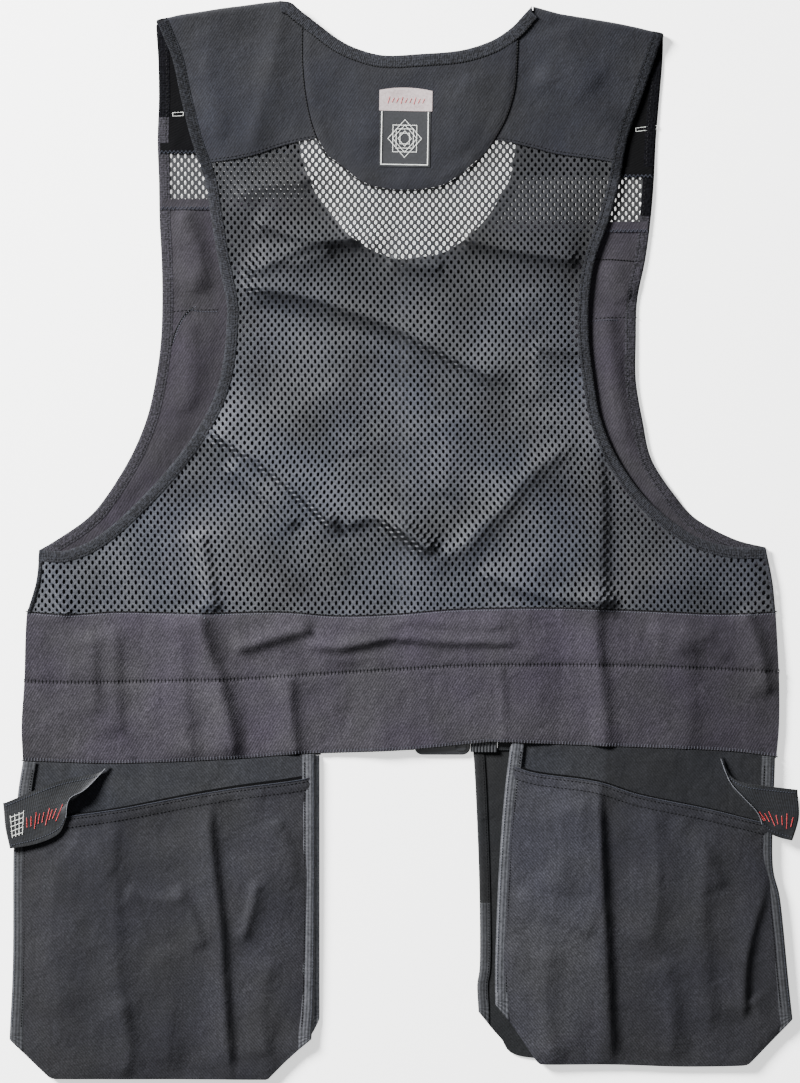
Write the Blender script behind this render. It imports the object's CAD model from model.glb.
# Utility vest laid flat with its back up: cloth, see-through net, tapes, pockets and sewing.
# Plans are in millimetres from the middle of the garment, x to the right and y to the neck.
# Heights are millimetres above the surface that it lies on.
import math

import bmesh
import bpy
import numpy as np
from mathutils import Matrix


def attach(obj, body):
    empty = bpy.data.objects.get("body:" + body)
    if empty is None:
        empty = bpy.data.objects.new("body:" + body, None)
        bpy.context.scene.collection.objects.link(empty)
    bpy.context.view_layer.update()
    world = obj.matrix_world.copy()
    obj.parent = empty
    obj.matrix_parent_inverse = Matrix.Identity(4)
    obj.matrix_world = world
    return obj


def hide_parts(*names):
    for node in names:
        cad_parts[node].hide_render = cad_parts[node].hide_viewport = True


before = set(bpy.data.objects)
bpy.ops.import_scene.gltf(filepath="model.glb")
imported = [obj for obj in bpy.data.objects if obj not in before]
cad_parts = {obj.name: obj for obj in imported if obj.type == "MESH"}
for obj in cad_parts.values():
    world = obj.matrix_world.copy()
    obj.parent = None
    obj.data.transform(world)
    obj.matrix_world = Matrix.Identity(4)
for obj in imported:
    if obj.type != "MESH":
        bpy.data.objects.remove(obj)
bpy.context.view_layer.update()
mm = 0.001


def say(stage):
    print("vest:", stage)


# The camera, the light and the floor
camera = {"above": 2200, "aim": (-0.75, -0.75), "fieldHeight": 812, "sensor": 24}
# name: place, size, watts; each looks at the middle of the vest
lamps = {
    "windowLight": ((-2700, 1950, 1620), 1150, 1190),
    "ceilingLight": ((500, -300, 2600), 2200, 16),
}
room = {"wall": "#d9dde4", "strength": 0.24, "floor": "#fafaf9", "floorSize": 14000, "glow": 1.0}


def linearColour(hexText):
    parts = [int(hexText[i:i + 2], 16) / 255 for i in (1, 3, 5)]
    return (*(p / 12.92 if p <= 0.04045 else ((p + 0.055) / 1.055) ** 2.4 for p in parts), 1.0)


def link(thing):
    bpy.context.scene.collection.objects.link(thing)
    return thing


def setCamera():
    data = bpy.data.cameras.new("photoCamera")
    data.sensor_fit = "VERTICAL"
    data.sensor_height = camera["sensor"]
    data.lens = camera["sensor"] * camera["above"] / camera["fieldHeight"]
    data.clip_end = 20
    eye = link(bpy.data.objects.new("photoCamera", data))
    eye.location = (camera["aim"][0] * mm, camera["aim"][1] * mm, camera["above"] * mm)
    bpy.context.scene.camera = eye


def setLights():
    for name, (place, size, watts) in lamps.items():
        data = bpy.data.lights.new(name, "AREA")
        data.shape = "DISK"
        data.size = size * mm
        data.energy = watts
        lamp = link(bpy.data.objects.new(name, data))
        lamp.location = [c * mm for c in place]
        lamp.rotation_euler = (-lamp.location).to_track_quat("-Z", "Y").to_euler()
    world = bpy.data.worlds.new("studio")
    world.use_nodes = True
    sky = world.node_tree.nodes["Background"]
    sky.inputs["Color"].default_value = linearColour(room["wall"])
    sky.inputs["Strength"].default_value = room["strength"]
    bpy.context.scene.world = world


# Materials, all made of nodes
def addNode(tree, kind, inputs=None):
    # a node or a socket is linked to its input, a node standing for its first output; any other
    # value is set, on the input of that name or number or else on the node itself
    node = tree.nodes.new(kind)
    for key, value in (inputs or {}).items():
        if isinstance(value, bpy.types.Node):
            value = value.outputs[0]
        if isinstance(value, bpy.types.NodeSocket):
            tree.links.new(value, node.inputs[key])
        elif isinstance(key, int) or key in node.inputs:
            node.inputs[key].default_value = value
        else:
            setattr(node, key, value)
    return node


def startMaterial(name, roughness, ior, sheen=0.0, gloss=0.5):
    # gloss is how much of the plain reflection a surface keeps; loose fibres scatter most of it
    material = bpy.data.materials.new(name)
    material.use_nodes = True
    tree = material.node_tree
    values = {"Roughness": roughness, "IOR": ior, "Metallic": 0.0, "Specular IOR Level": gloss,
              "Sheen Weight": sheen, "Sheen Roughness": 0.5}
    for key, value in values.items():
        tree.nodes["Principled BSDF"].inputs[key].default_value = value
    return material, tree, addNode(tree, "ShaderNodeTexCoord").outputs["Object"]


def giveSurface(tree, colour, relief, strength, depth, **more):
    # the colour, and a relief whose depth is in millimetres
    bump = addNode(tree, "ShaderNodeBump", {"Strength": strength, "Distance": depth * mm,
                                            "Height": relief, **more})
    surface = tree.nodes["Principled BSDF"].inputs
    tree.links.new(colour.outputs[0], surface["Base Color"])
    tree.links.new(bump.outputs[0], surface["Normal"])


def ramp(tree, source, stops):
    # a colour ramp through (place, hex) stops
    node = addNode(tree, "ShaderNodeValToRGB", {"Fac": source})
    points = node.color_ramp.elements
    while len(points) < len(stops):
        points.new(0.5)
    for point, (place, colour) in zip(points, stops):
        point.position = place
        point.color = linearColour(colour)
    return node


def shade(tree, tone, tones, colours):
    # dark, middle and light colours for the tones from the first to the second
    level = addNode(tree, "ShaderNodeMapRange", {"From Min": tones[0], "From Max": tones[1],
                                                 "Value": tone})
    return ramp(tree, level, list(zip((0.0, 0.5, 1.0), colours)))


def dye(tree, place, colour, tint, fades):
    # the dye has kept its purple in some places and gone grey in others; each fade is an axis,
    # the span in mm over which the cloth's brightness changes, and by how much
    patches = addNode(tree, "ShaderNodeTexNoise",
                      {"Scale": patchesOf(tint["patch"]), "Detail": tint["detail"],
                       "Roughness": tint["roughness"], "Vector": place})
    purity = addNode(tree, "ShaderNodeMapRange",
                     {"From Min": 0.5 - tint["spread"], "From Max": 0.5 + tint["spread"],
                      "To Min": 0.6, "To Max": 1.25, "Value": patches})
    dyed = addNode(tree, "ShaderNodeHueSaturation", {"Color": colour, "Saturation": purity})
    for axis, (low, high), change in fades:
        parts = addNode(tree, "ShaderNodeSeparateXYZ", {"Vector": place})
        fade = addNode(tree, "ShaderNodeMapRange",
                       {"interpolation_type": "SMOOTHSTEP", "From Min": low * mm,
                        "From Max": high * mm, "To Min": 1.0, "To Max": change,
                        "Value": parts.outputs[axis]})
        dyed = addNode(tree, "ShaderNodeHueSaturation", {"Color": dyed, "Value": fade})
    return dyed


def bandsOf(period, unit=mm):
    # the wave texture's scale for bands that are period mm apart; a strip's map is in mm, so
    # its unit is 1
    return 2 * math.pi / 20 / (period * unit)


def patchesOf(size):
    # the noise texture's scale for patches about size mm across
    return 1 / (size * mm)


# Poly-cotton twill: matt, with fine diagonal ribs and faded, slightly cloudy dye.
# Its ribs are 0.8 mm apart on the real cloth and are drawn at 1.8 mm, so that they show.
twill = {"rib": 1.8, "turn": 30, "thread": 1.6, "slub": 7, "slubStretch": 0.16, "cloud": 46,
         "rumple": 17, "speckle": 0.9, "ribShare": 0.55, "slubShare": 0.5, "cloudShare": 0.6,
         "tones": (0.85, 2.25), "ribHeight": 0.16, "rumpleHeight": 1.6,
         "tint": {"patch": 85, "detail": 3.0, "roughness": 0.6, "spread": 0.14},
         "roughness": 0.88, "ior": 1.5, "sheen": 0.03, "gloss": 0.16}


def makeTwill(name, dark, mid, light, turn=twill["turn"], fades=(), gloss=twill["gloss"]):
    # each fade is as above, along x
    material, tree, place = startMaterial(name, twill["roughness"], twill["ior"],
                                          twill["sheen"], gloss)
    turned = addNode(tree, "ShaderNodeMapping",
                     {"Rotation": (0, 0, math.radians(turn)), "Vector": place})
    ribs = addNode(tree, "ShaderNodeTexWave",
                   {"Scale": bandsOf(twill["rib"]), "Distortion": 1.1, "Detail": 2.0,
                    "Detail Scale": 1.6, "Vector": turned})
    threads = addNode(tree, "ShaderNodeTexNoise", {"Scale": patchesOf(twill["thread"]),
                      "Detail": 3.0, "Roughness": 0.7, "Vector": place})
    stretched = addNode(tree, "ShaderNodeMapping",
                        {"Scale": (1.0, twill["slubStretch"], 1.0), "Vector": place})
    slubs = addNode(tree, "ShaderNodeTexNoise", {"Scale": patchesOf(twill["slub"]),
                    "Detail": 4.0, "Roughness": 0.65, "Vector": stretched})
    clouds = addNode(tree, "ShaderNodeTexNoise", {"Scale": patchesOf(twill["cloud"]),
                     "Detail": 3.0, "Roughness": 0.55, "Vector": place})
    speckle = addNode(tree, "ShaderNodeMapRange",
                      {"From Min": 0.3, "From Max": 0.7, "To Max": twill["speckle"],
                       "Value": threads})
    weave = addNode(tree, "ShaderNodeMath",
                    {"operation": "MULTIPLY_ADD", 0: ribs.outputs["Fac"],
                     1: twill["ribShare"], 2: speckle})
    tone = weave
    for pattern, share in ((slubs, twill["slubShare"]), (clouds, twill["cloudShare"])):
        tone = addNode(tree, "ShaderNodeMath", {"operation": "MULTIPLY_ADD", 0: pattern,
                                                1: share, 2: tone})
    colour = dye(tree, place, shade(tree, tone, twill["tones"], (dark, mid, light)),
                 twill["tint"], [("X", *fade) for fade in fades])
    # the cloth never lies quite smooth between its creases
    rumples = addNode(tree, "ShaderNodeTexNoise",
                      {"Scale": patchesOf(twill["rumple"]), "Detail": 4.0, "Roughness": 0.5,
                       "Distortion": 0.4, "Vector": place})
    rumpled = addNode(tree, "ShaderNodeBump", {"Strength": 0.8, "Height": rumples,
                                               "Distance": twill["rumpleHeight"] * mm})
    giveSurface(tree, colour, weave, 0.7, twill["ribHeight"], Normal=rumpled)
    return material


# Knitted polyester yarn: smoother than cotton, so each strand has a soft bright back.
# The net is darkest below the shoulders and at the right.
netYarn = {"filament": 0.55, "fleck": 1.6, "cloud": 60, "fleckShare": 0.7, "tones": (0.6, 1.1),
           "filamentHeight": 0.3, "roughness": 0.6, "ior": 1.57, "sheen": 0.04, "gloss": 0.22,
           "tint": {"patch": 75, "detail": 2.0, "roughness": 0.5, "spread": 0.12},
           "fades": [("Y", (115, 235), 0.3), ("X", (105, 185), 0.7)],
           "colours": ("#15161a", "#282a30", "#3a3b40")}


def makeNetYarn():
    material, tree, place = startMaterial("knittedPolyesterYarn", netYarn["roughness"],
                                          netYarn["ior"], netYarn["sheen"], netYarn["gloss"])
    filaments, flecks, clouds = (
        addNode(tree, "ShaderNodeTexNoise",
                {"Scale": patchesOf(netYarn[part]), "Detail": 2.0, "Vector": place})
        for part in ("filament", "fleck", "cloud"))
    tone = addNode(tree, "ShaderNodeMath", {"operation": "MULTIPLY_ADD", 0: flecks,
                                            1: netYarn["fleckShare"], 2: clouds})
    colour = dye(tree, place, shade(tree, tone, netYarn["tones"], netYarn["colours"]),
                 netYarn["tint"], netYarn["fades"])
    giveSurface(tree, colour, filaments, 0.6, netYarn["filamentHeight"])
    return material


# Narrow tapes and straps are patterned along themselves, so they read their own map, which is
# in millimetres: x across the strip and y along it.
weaves = {
    # rib and cross: how far apart the ribs along and across the strip are
    # ribShare and pebble: how much of them, and of worn pebbles, shows in its colour
    "biasTwill": {"rib": 1.9, "cross": 1.3, "ribHeight": 0.2, "ribShare": 0.4, "pebble": 0.9,
                  "roughness": 0.9, "ior": 1.5, "sheen": 0.03},
    "ribbed": {"rib": 2.5, "cross": 1.0, "ribHeight": 0.16, "ribShare": 0.9, "roughness": 0.75,
               "ior": 1.57, "sheen": 0.02},
    "nylon": {"rib": 2.4, "cross": 1.5, "ribHeight": 0.1, "ribShare": 0.3, "roughness": 0.62,
              "ior": 1.53, "sheen": 0.02},
    "satin": {"rib": 0.7, "cross": 0.9, "ribHeight": 0.05, "ribShare": 0.6, "roughness": 0.42,
              "ior": 1.55, "sheen": 0.3},
}
tapeWear = {"patch": 14, "pebble": 1.7, "share": 1.4}


def makeTape(name, colours, weave, **changes):
    kind = {"pebble": 0.3, "gloss": 0.2, **weaves[weave], **changes}
    material, tree, place = startMaterial(name, kind["roughness"], kind["ior"], kind["sheen"],
                                          kind["gloss"])
    strip = addNode(tree, "ShaderNodeUVMap", {"uv_map": "strip"})
    lengthwise = addNode(tree, "ShaderNodeTexWave",
                         {"Scale": bandsOf(kind["rib"], 1), "Distortion": 0.25, "Detail": 1.0,
                          "Vector": strip})
    crosswise = addNode(tree, "ShaderNodeTexWave",
                        {"bands_direction": "Y", "Scale": bandsOf(kind["cross"], 1),
                         "Distortion": 0.8, "Detail": 1.0, "Vector": strip})
    wear = addNode(tree, "ShaderNodeTexNoise", {"Scale": patchesOf(tapeWear["patch"]),
                   "Detail": 5.0, "Roughness": 0.7, "Vector": place})
    pebbles = addNode(tree, "ShaderNodeTexNoise", {"Scale": patchesOf(tapeWear["pebble"]),
                      "Detail": 1.5, "Roughness": 0.6, "Vector": place})
    pebbled = addNode(tree, "ShaderNodeMapRange",
                      {"From Min": 0.35, "From Max": 0.65, "To Min": -kind["pebble"],
                       "To Max": kind["pebble"], "Value": pebbles})
    ribs = addNode(tree, "ShaderNodeMath",
                   {"operation": "MULTIPLY_ADD", 0: lengthwise.outputs["Fac"],
                    1: kind["ribShare"], 2: crosswise.outputs["Fac"]})
    surface = addNode(tree, "ShaderNodeMath", {"operation": "ADD", 0: pebbled, 1: ribs})
    tone = addNode(tree, "ShaderNodeMath", {"operation": "MULTIPLY_ADD", 0: wear,
                                            1: tapeWear["share"], 2: surface})
    colour = shade(tree, tone, (0.6, 1.6 + kind["ribShare"]), colours)
    giveSurface(tree, colour, surface, 0.6, kind["ribHeight"])
    return material


def makePlain(name, colours, grain, roughness, ior, grainHeight, sheen=0.0, gloss=0.5):
    # one finish with a fine even grain, for thread, plastic and the floor
    material, tree, place = startMaterial(name, roughness, ior, sheen, gloss)
    speckle = addNode(tree, "ShaderNodeTexNoise",
                      {"Scale": patchesOf(grain), "Detail": 3.0, "Roughness": 0.6,
                       "Vector": place})
    colour = ramp(tree, speckle, [(0.3, colours[0]), (0.7, colours[1])])
    giveSurface(tree, colour, speckle, 0.3, grainHeight)
    return material


def makeThread(name, colours, roughness, ior=1.57, sheen=0.0, gloss=0.5):
    return makePlain(name, colours, 0.6, roughness, ior, 0.05, sheen, gloss)


finish = {
    # faded charcoal with a purple cast, on the waist and the front
    "waistTwill": makeTwill("faded poly-cotton twill", "#141217", "#252228", "#37343c",
                            fades=[((-240, -205), 1.2), ((150, 240), 0.66)]),
    # its inner side, with less light on the faded nap
    "frontTwill": makeTwill("inner side of poly-cotton twill", "#131115", "#1f1c22", "#2c2a2f"),
    # the black wrong side of the front yokes
    "innerTwill": makeTwill("black inner side of twill", "#020203", "#030304", "#060607", 62,
                            gloss=0.04),
    # less faded and bluer, on the shoulders and neck
    "yokeTwill": makeTwill("new poly-cotton twill", "#0c0c10", "#15161b", "#212228", 33),
    # almost black, on the tool pockets
    "pocketTwill": makeTwill("black poly-cotton twill", "#0b0b0e", "#17171b", "#26262b", 140,
                             [((-165, -135), 1.35), ((-20, 40), 1.35), ((146, 154), 0.66)]),
    # the same above the pockets' mouths
    "backingTwill": makeTwill("black poly-cotton twill lining", "#0e0f12", "#1a1b1f", "#2a2b30",
                              140, [((148, 156), 0.5)]),
    # and on the front pockets, which have had less light
    "shadedTwill": makeTwill("unfaded black twill", "#08090a", "#0f1012", "#18191b", 140),
    "netYarn": makeNetYarn(),
    # twill cut on the bias and folded in four: close diagonal ribs and worn edges
    "binding": makeTape("bias-cut twill binding", ("#060609", "#0f1014", "#1b1c21"),
                        "biasTwill"),
    # the same with less wear, beside the yokes
    "yokeBinding": makeTape("bias-cut twill armhole binding", ("#040406", "#0a0b0e", "#15161a"),
                            "biasTwill", sheen=0.0, gloss=0.12),
    # faded towards purple, on the inner side of the front
    "fadedBinding": makeTape("faded twill binding", ("#09080c", "#141317", "#222026"),
                             "biasTwill"),
    # the same where the shoulder has kept light off it
    "newBinding": makeTape("unfaded twill binding", ("#020203", "#050507", "#0a0a0d"),
                           "biasTwill", sheen=0.0, gloss=0.04),
    # ribbed polyester tape: bright lengthwise cords with dark grooves between
    "pocketTape": makeTape("ribbed polyester tape", ("#0a0b0c", "#1a1b1e", "#2e2f32"), "ribbed"),
    # the same, worn along the pockets' inner edges
    "wornTape": makeTape("rubbed ribbed polyester tape", ("#0f1012", "#27282c", "#434448"),
                         "ribbed"),
    # the same, rubbed pale
    "paleTape": makeTape("worn ribbed polyester tape", ("#2a2b2f", "#525358", "#77787c"),
                         "ribbed"),
    # flat nylon webbing with a slight gloss
    "webbing": makeTape("nylon webbing", ("#020203", "#08090b", "#131519"), "nylon"),
    # woven satin shines along its floats
    "whiteLabel": makeTape("white woven satin label", ("#6e6363", "#897d7d", "#9b9191"),
                           "satin"),
    "darkLabel": makeTape("dark woven satin label", ("#0b0d0e", "#151619", "#1e1f22"), "satin",
                          roughness=0.45),
    # sewing thread is matt, and rayon for embroidery is brighter and smoother
    "darkThread": makeThread("dark polyester thread", ("#020203", "#050507"), 0.75, gloss=0.12),
    "greyThread": makeThread("grey polyester thread", ("#35363c", "#484b53"), 0.5, sheen=0.2),
    "blueThread": makeThread("slate polyester thread", ("#1d1f27", "#2d3039"), 0.7, gloss=0.15),
    "slateThread": makeThread("pale slate polyester thread", ("#33343b", "#45474f"), 0.7,
                              gloss=0.2),
    "whiteThread": makeThread("white embroidery rayon", ("#b1b2ae", "#d0d2cd"), 0.35, 1.5, 0.2),
    "redThread": makeThread("red embroidery rayon", ("#8c0d12", "#b4181e"), 0.35, 1.5, 0.2),
    # moulded acetal: dark, even and slightly glossy
    "acetal": makePlain("moulded acetal", ("#141517", "#1c1d20"), 0.8, 0.38, 1.48, 0.03),
    # matt paper: even and without gloss
    "paperFloor": makePlain("matt paper", (room["floor"], room["floor"]), 3.0, 0.9, 1.5, 0.02),
}


def setFloor():
    # the paper lies on a light table, so that holes in the net read as white
    half = room["floorSize"] / 2 * mm
    shader = finish["paperFloor"].node_tree.nodes["Principled BSDF"]
    shader.inputs["Emission Color"].default_value = linearColour(room["floor"])
    shader.inputs["Emission Strength"].default_value = room["glow"]
    data = bpy.data.meshes.new("floor")
    data.from_pydata([(-half, -half, 0), (half, -half, 0), (half, half, 0), (-half, half, 0)],
                     [], [(0, 1, 2, 3)])
    data.materials.append(finish["paperFloor"])
    link(bpy.data.objects.new("floor", data))


setCamera()
setLights()
setFloor()
say("camera, light and floor")


# Lines and grids in plan
def smoothLine(points, count):
    # evenly spaced points on a smooth curve through the given ones
    p = np.array(points, float)
    ends = np.vstack([2 * p[0] - p[1], p, 2 * p[-1] - p[-2]])
    fine = []
    for a, b, c, d in zip(ends, ends[1:], ends[2:], ends[3:]):
        for t in np.linspace(0, 1, 12, endpoint=False):
            fine.append(0.5 * (2 * b + (c - a) * t + (2 * a - 5 * b + 4 * c - d) * t * t
                               + (3 * b - a - 3 * c + d) * t ** 3))
    fine.append(p[-1])
    return evenLine(fine, count)


def distances(line):
    # how far along a line each of its points is
    return np.concatenate([[0], np.cumsum(np.linalg.norm(np.diff(line, axis=0), axis=1))])


def evenLine(points, count):
    p = np.array(points, float)
    s = distances(p)
    t = np.linspace(0, s[-1], count + 1)
    return np.column_stack([np.interp(t, s, p[:, k]) for k in range(p.shape[1])])


def lineLength(line):
    return float(np.sum(np.linalg.norm(np.diff(line, axis=0), axis=1)))


def stepsFor(line, size):
    return max(2, round(lineLength(np.array(line, float)) / size))


def sideways(line):
    # unit vectors to the left of the way that a line runs, longer in its bends
    run = np.diff(line, axis=0)
    run /= np.linalg.norm(run, axis=1)[:, None]
    normal = np.column_stack([-run[:, 1], run[:, 0]])
    before, after = np.vstack([normal[:1], normal]), np.vstack([normal, normal[-1:]])
    mean = before + after
    mean /= np.linalg.norm(mean, axis=1)[:, None]
    return mean / np.sum(mean * after, axis=1)[:, None]


def offsetLine(line, distance):
    return line + sideways(line) * distance


def joinLines(*runs):
    return np.vstack([runs[0]] + [run[1:] for run in runs[1:]])


def pinLine(line, start, end):
    # the line carried to given ends, its middle moving with them
    t = np.linspace(0, 1, len(line))[:, None]
    return line + (1 - t) * (np.array(start) - line[0]) + t * (np.array(end) - line[-1])


def onLine(line, x):
    p = np.array(line, float)
    return np.interp(x, p[:, 0], p[:, 1])


def fillEdges(bottom, top, left, right):
    # a grid of points that fills four edges
    u = np.linspace(0, 1, len(bottom))[None, :, None]
    v = np.linspace(0, 1, len(left))[:, None, None]
    ruled = (1 - v) * bottom[None] + v * top[None] + (1 - u) * left[:, None] + u * right[:, None]
    return ruled - ((1 - u) * (1 - v) * bottom[0] + u * (1 - v) * bottom[-1]
                    + (1 - u) * v * top[0] + u * v * top[-1])


def ease(value, low, high):
    t = np.clip((np.asarray(value, float) - low) / (high - low), 0, 1)
    return t * t * (3 - 2 * t)


def hill(value, reach, middle=0):
    # 1 at the middle, falling away on both sides
    return np.exp(-((value - middle) / reach) ** 2)


def softMax(a, b, blend=0.25):
    return (a + b + np.sqrt((a - b) ** 2 + blend ** 2)) / 2


def fromLine(x, y, line):
    # distance from a line, which side of it (left is positive) and how far along, from 0 to 1
    p = np.array(line, float)
    lengths = np.linalg.norm(np.diff(p, axis=0), axis=1)
    starts = np.concatenate([[0], np.cumsum(lengths)])
    best = np.full(np.shape(x), 1e9)
    side, along = np.zeros(np.shape(x)), np.zeros(np.shape(x))
    for a, b, start, length in zip(p, p[1:], starts, lengths):
        ux, uy = (b - a) / length
        t = np.clip((x - a[0]) * ux + (y - a[1]) * uy, 0, length)
        dx, dy = x - a[0] - t * ux, y - a[1] - t * uy
        away = np.hypot(dx, dy)
        near = away < best
        best = np.where(near, away, best)
        side = np.where(near, ux * dy - uy * dx, side)
        along = np.where(near, (start + t) / starts[-1], along)
    return best, side, along


def awayFrom(x, y, line):
    return fromLine(x, y, line)[0]


def ripple(x, y, size, seed):
    # soft uneven hills about size mm apart, between -1 and 1
    table = np.random.default_rng(seed).uniform(-1, 1, (64, 64))
    gx, gy = np.asarray(x) / size + 31.3, np.asarray(y) / size + 29.7
    ix, iy = np.floor(gx).astype(int), np.floor(gy).astype(int)
    fx, fy = gx - ix, gy - iy
    fx, fy = fx * fx * (3 - 2 * fx), fy * fy * (3 - 2 * fy)

    def at(i, j):
        return table[(ix + i) % 64, (iy + j) % 64]

    low = at(0, 0) * (1 - fx) + at(1, 0) * fx
    high = at(0, 1) * (1 - fx) + at(1, 1) * fx
    return low * (1 - fy) + high * fy


crease = {"end": 0.14, "crest": 1.2, "fall": 1.2}      # end is a share of its length


def foldField(x, y, folds):
    # each fold: route, height, softness to the left of the route, softness to the right
    total = np.zeros(np.shape(x))
    for route, height, leftSoft, rightSoft in folds:
        away, side, along = fromLine(x, y, smoothLine(route, 10))
        soft = np.where(side > 0, leftSoft, rightSoft)
        ends = ease(along, 0, crease["end"]) * (1 - ease(along, 1 - crease["end"], 1))
        rounded = np.hypot(away, crease["crest"]) - crease["crest"]
        total += height * ends * np.exp(-(rounded / soft) ** crease["fall"])
    return total


# The plan of the vest, as it lies
shoulder = {
    "left": [(-183, 389.5), (-166, 393.5), (-136, 398), (-106, 402), (-91, 403.4)],
    "right": [(98, 399.5), (119, 394), (149, 389), (179, 383.5), (196.5, 379.5)],
}
neckEdge = [(-91, 403.4), (-82, 402), (-76, 397), (-61, 385.5), (-46, 374.5), (-31, 367.5),
            (-12, 363), (14, 364), (44, 366.5), (67, 373.5), (82, 383), (90, 391), (98, 399.5)]
armholeBack = {
    "left": [(-183, 389.5), (-177, 375), (-171, 360), (-164.5, 330), (-157, 300), (-147, 270),
             (-142, 240), (-137, 210), (-131, 180), (-130.5, 165), (-133, 135), (-141, 105),
             (-158, 75), (-182, 45), (-212, 15), (-232, 0), (-246, -6), (-256, -8), (-271, -7)],
    "right": [(196.5, 379.5), (190, 360), (180, 330), (169.5, 300), (164, 270), (156, 240),
              (145.5, 210), (141, 180), (141, 150), (144.5, 120), (150, 90), (163, 60),
              (185, 30), (214, 7), (232, -1), (251, -5), (273, -5)],
}
armholeFront = {
    "left": [(-183, 389.5), (-183.5, 384), (-182, 360), (-181.5, 330), (-182.5, 300),
             (-181.5, 270), (-181, 240), (-179.5, 210), (-179, 180), (-180, 150), (-184, 120),
             (-191, 90), (-204, 60), (-223, 30), (-237, 15), (-259, 0), (-271, -7)],
    "right": [(196.5, 379.5), (196, 360), (193.5, 330), (191, 300), (189.5, 270), (187, 240),
              (183, 210), (177, 180), (176, 150), (176, 120), (181, 90), (188, 60), (208, 30),
              (223, 15), (250, 1), (273, -5)],
}
sideSeam = {
    "left": [(-271, -7), (-273, -30), (-280, -54), (-282, -105), (-284, -138), (-283, -165)],
    "right": [(273, -5), (278, -30), (280.5, -54), (283, -105), (283, -138), (281, -162)],
}
yokeSeam = {
    "left": [(-141, 282), (-121, 285), (-106, 289), (-91, 295), (-76, 299), (-58, 302)],
    "right": [(65, 299), (81, 298), (104, 293), (119, 289), (149, 285), (165, 282)],
}
frontSeams = {"left": (297, 255), "right": (279, 238)}   # above and below each net strip
frontNeck = {
    "left": [(-91, 403.4), (-82, 360), (-78, 315), (-75, 289), (-70, 274), (-61, 255), (-46, 236),
             (-31, 223), (-16, 215), (-4, 211.5)],
    "right": [(98, 399.5), (94, 367), (89, 322), (84, 283.5), (81, 270), (70.5, 251), (59, 236),
              (44, 223), (29, 215), (6, 211.5)],
}
halfMoon = {
    "left": [(-73, 383), (-73, 352), (-70, 326), (-64, 304), (-55, 288)],
    "foot": [(-55, 288), (-46, 282), (-34, 272), (-23, 266), (-8, 263), (7, 262.5), (22, 264),
             (33, 267), (44, 274), (55, 283), (64, 292)],
    "right": [(87, 374), (85, 341), (82, 326), (76, 311), (64, 292)],
}
waistSeam = [(-280, -54), (-248, -56), (-211, -54), (-151, -55), (-91, -54), (-46, -57),
             (-1, -55.5), (44, -52), (119, -51), (179, -53), (239, -55.5), (280.5, -54)]
stitchSeam = [(-282, -105), (-248, -106), (-181, -105), (-121, -103.5), (-76, -100.5),
              (-1, -96), (59, -93), (149, -93), (209, -94.5), (283, -98)]
hemEdge = [(-283, -165), (-226, -167), (-188, -166.5), (-121, -163.5), (-76, -160), (-1, -157),
           (59, -151.5), (74, -151), (149, -154), (239, -157.5), (281, -162)]
pocketEdge = {
    "left": {"left": [(-283, -165), (-287, -192), (-290, -231), (-290.5, -315), (-293, -373)],
             "foot": [(-293, -373), (-289, -377), (-277, -388.5), (-265, -400), (-261, -402.6),
                      (-252, -403), (-181, -403), (-110, -403.4), (-100.5, -403.2),
                      (-97, -400.5), (-87, -390.5), (-76, -380.5), (-67, -373)],
             "right": [(-64, -160), (-64, -260), (-65, -340), (-67, -373)]},
    "right": {"left": [(82, -151), (77, -194), (73, -250), (70.5, -315), (70.5, -347)],
              "foot": [(70.5, -347), (77, -354.5), (85.5, -366), (98, -384.5), (102.5, -390.5),
                       (109, -392), (157, -392), (209, -393.6), (252, -393), (260, -391.5),
                       (264, -388), (280.5, -371), (293, -358)],
              "right": [(280, -162), (278, -238), (284, -270), (290, -330), (293, -358)]},
}
mouthEdge = {
    "left": [(-279, -213), (-250, -207), (-211, -201), (-181, -195), (-151, -189), (-121, -184),
             (-91, -180), (-74, -177)],
    "right": [(90, -168), (108, -174), (149, -180), (179, -190), (224, -200), (254, -208),
              (269, -212)],
}
frontPocketEdge = {
    "left": {"left": [(-276, -166), (-279, -231), (-280, -366)],
             "foot": [(-280, -366), (-262, -385), (-181, -390), (-95, -390), (-84, -386),
                      (-70, -374), (-62.5, -362), (-61, -358)],
             "right": [(-61, -160), (-61, -260), (-61, -358)]},
    "right": {"left": [(54, -152), (56, -190), (58.5, -255), (59, -315), (57, -333), (58, -353)],
              "foot": [(58, -353), (74, -372), (93, -387), (180, -388), (255, -386), (277, -366)],
              "right": [(270, -161), (268, -235), (274, -300), (277, -366)]},
}
sides = {"left": 1, "right": -1}    # the way from an armhole to the middle of the back
outerEnd = {"left": 0, "right": -1}    # the end of a line across the vest that is at each side
waistFine, stitchFine, hemFine = (smoothLine(line, 190)
                                  for line in (waistSeam, stitchSeam, hemEdge))


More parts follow.
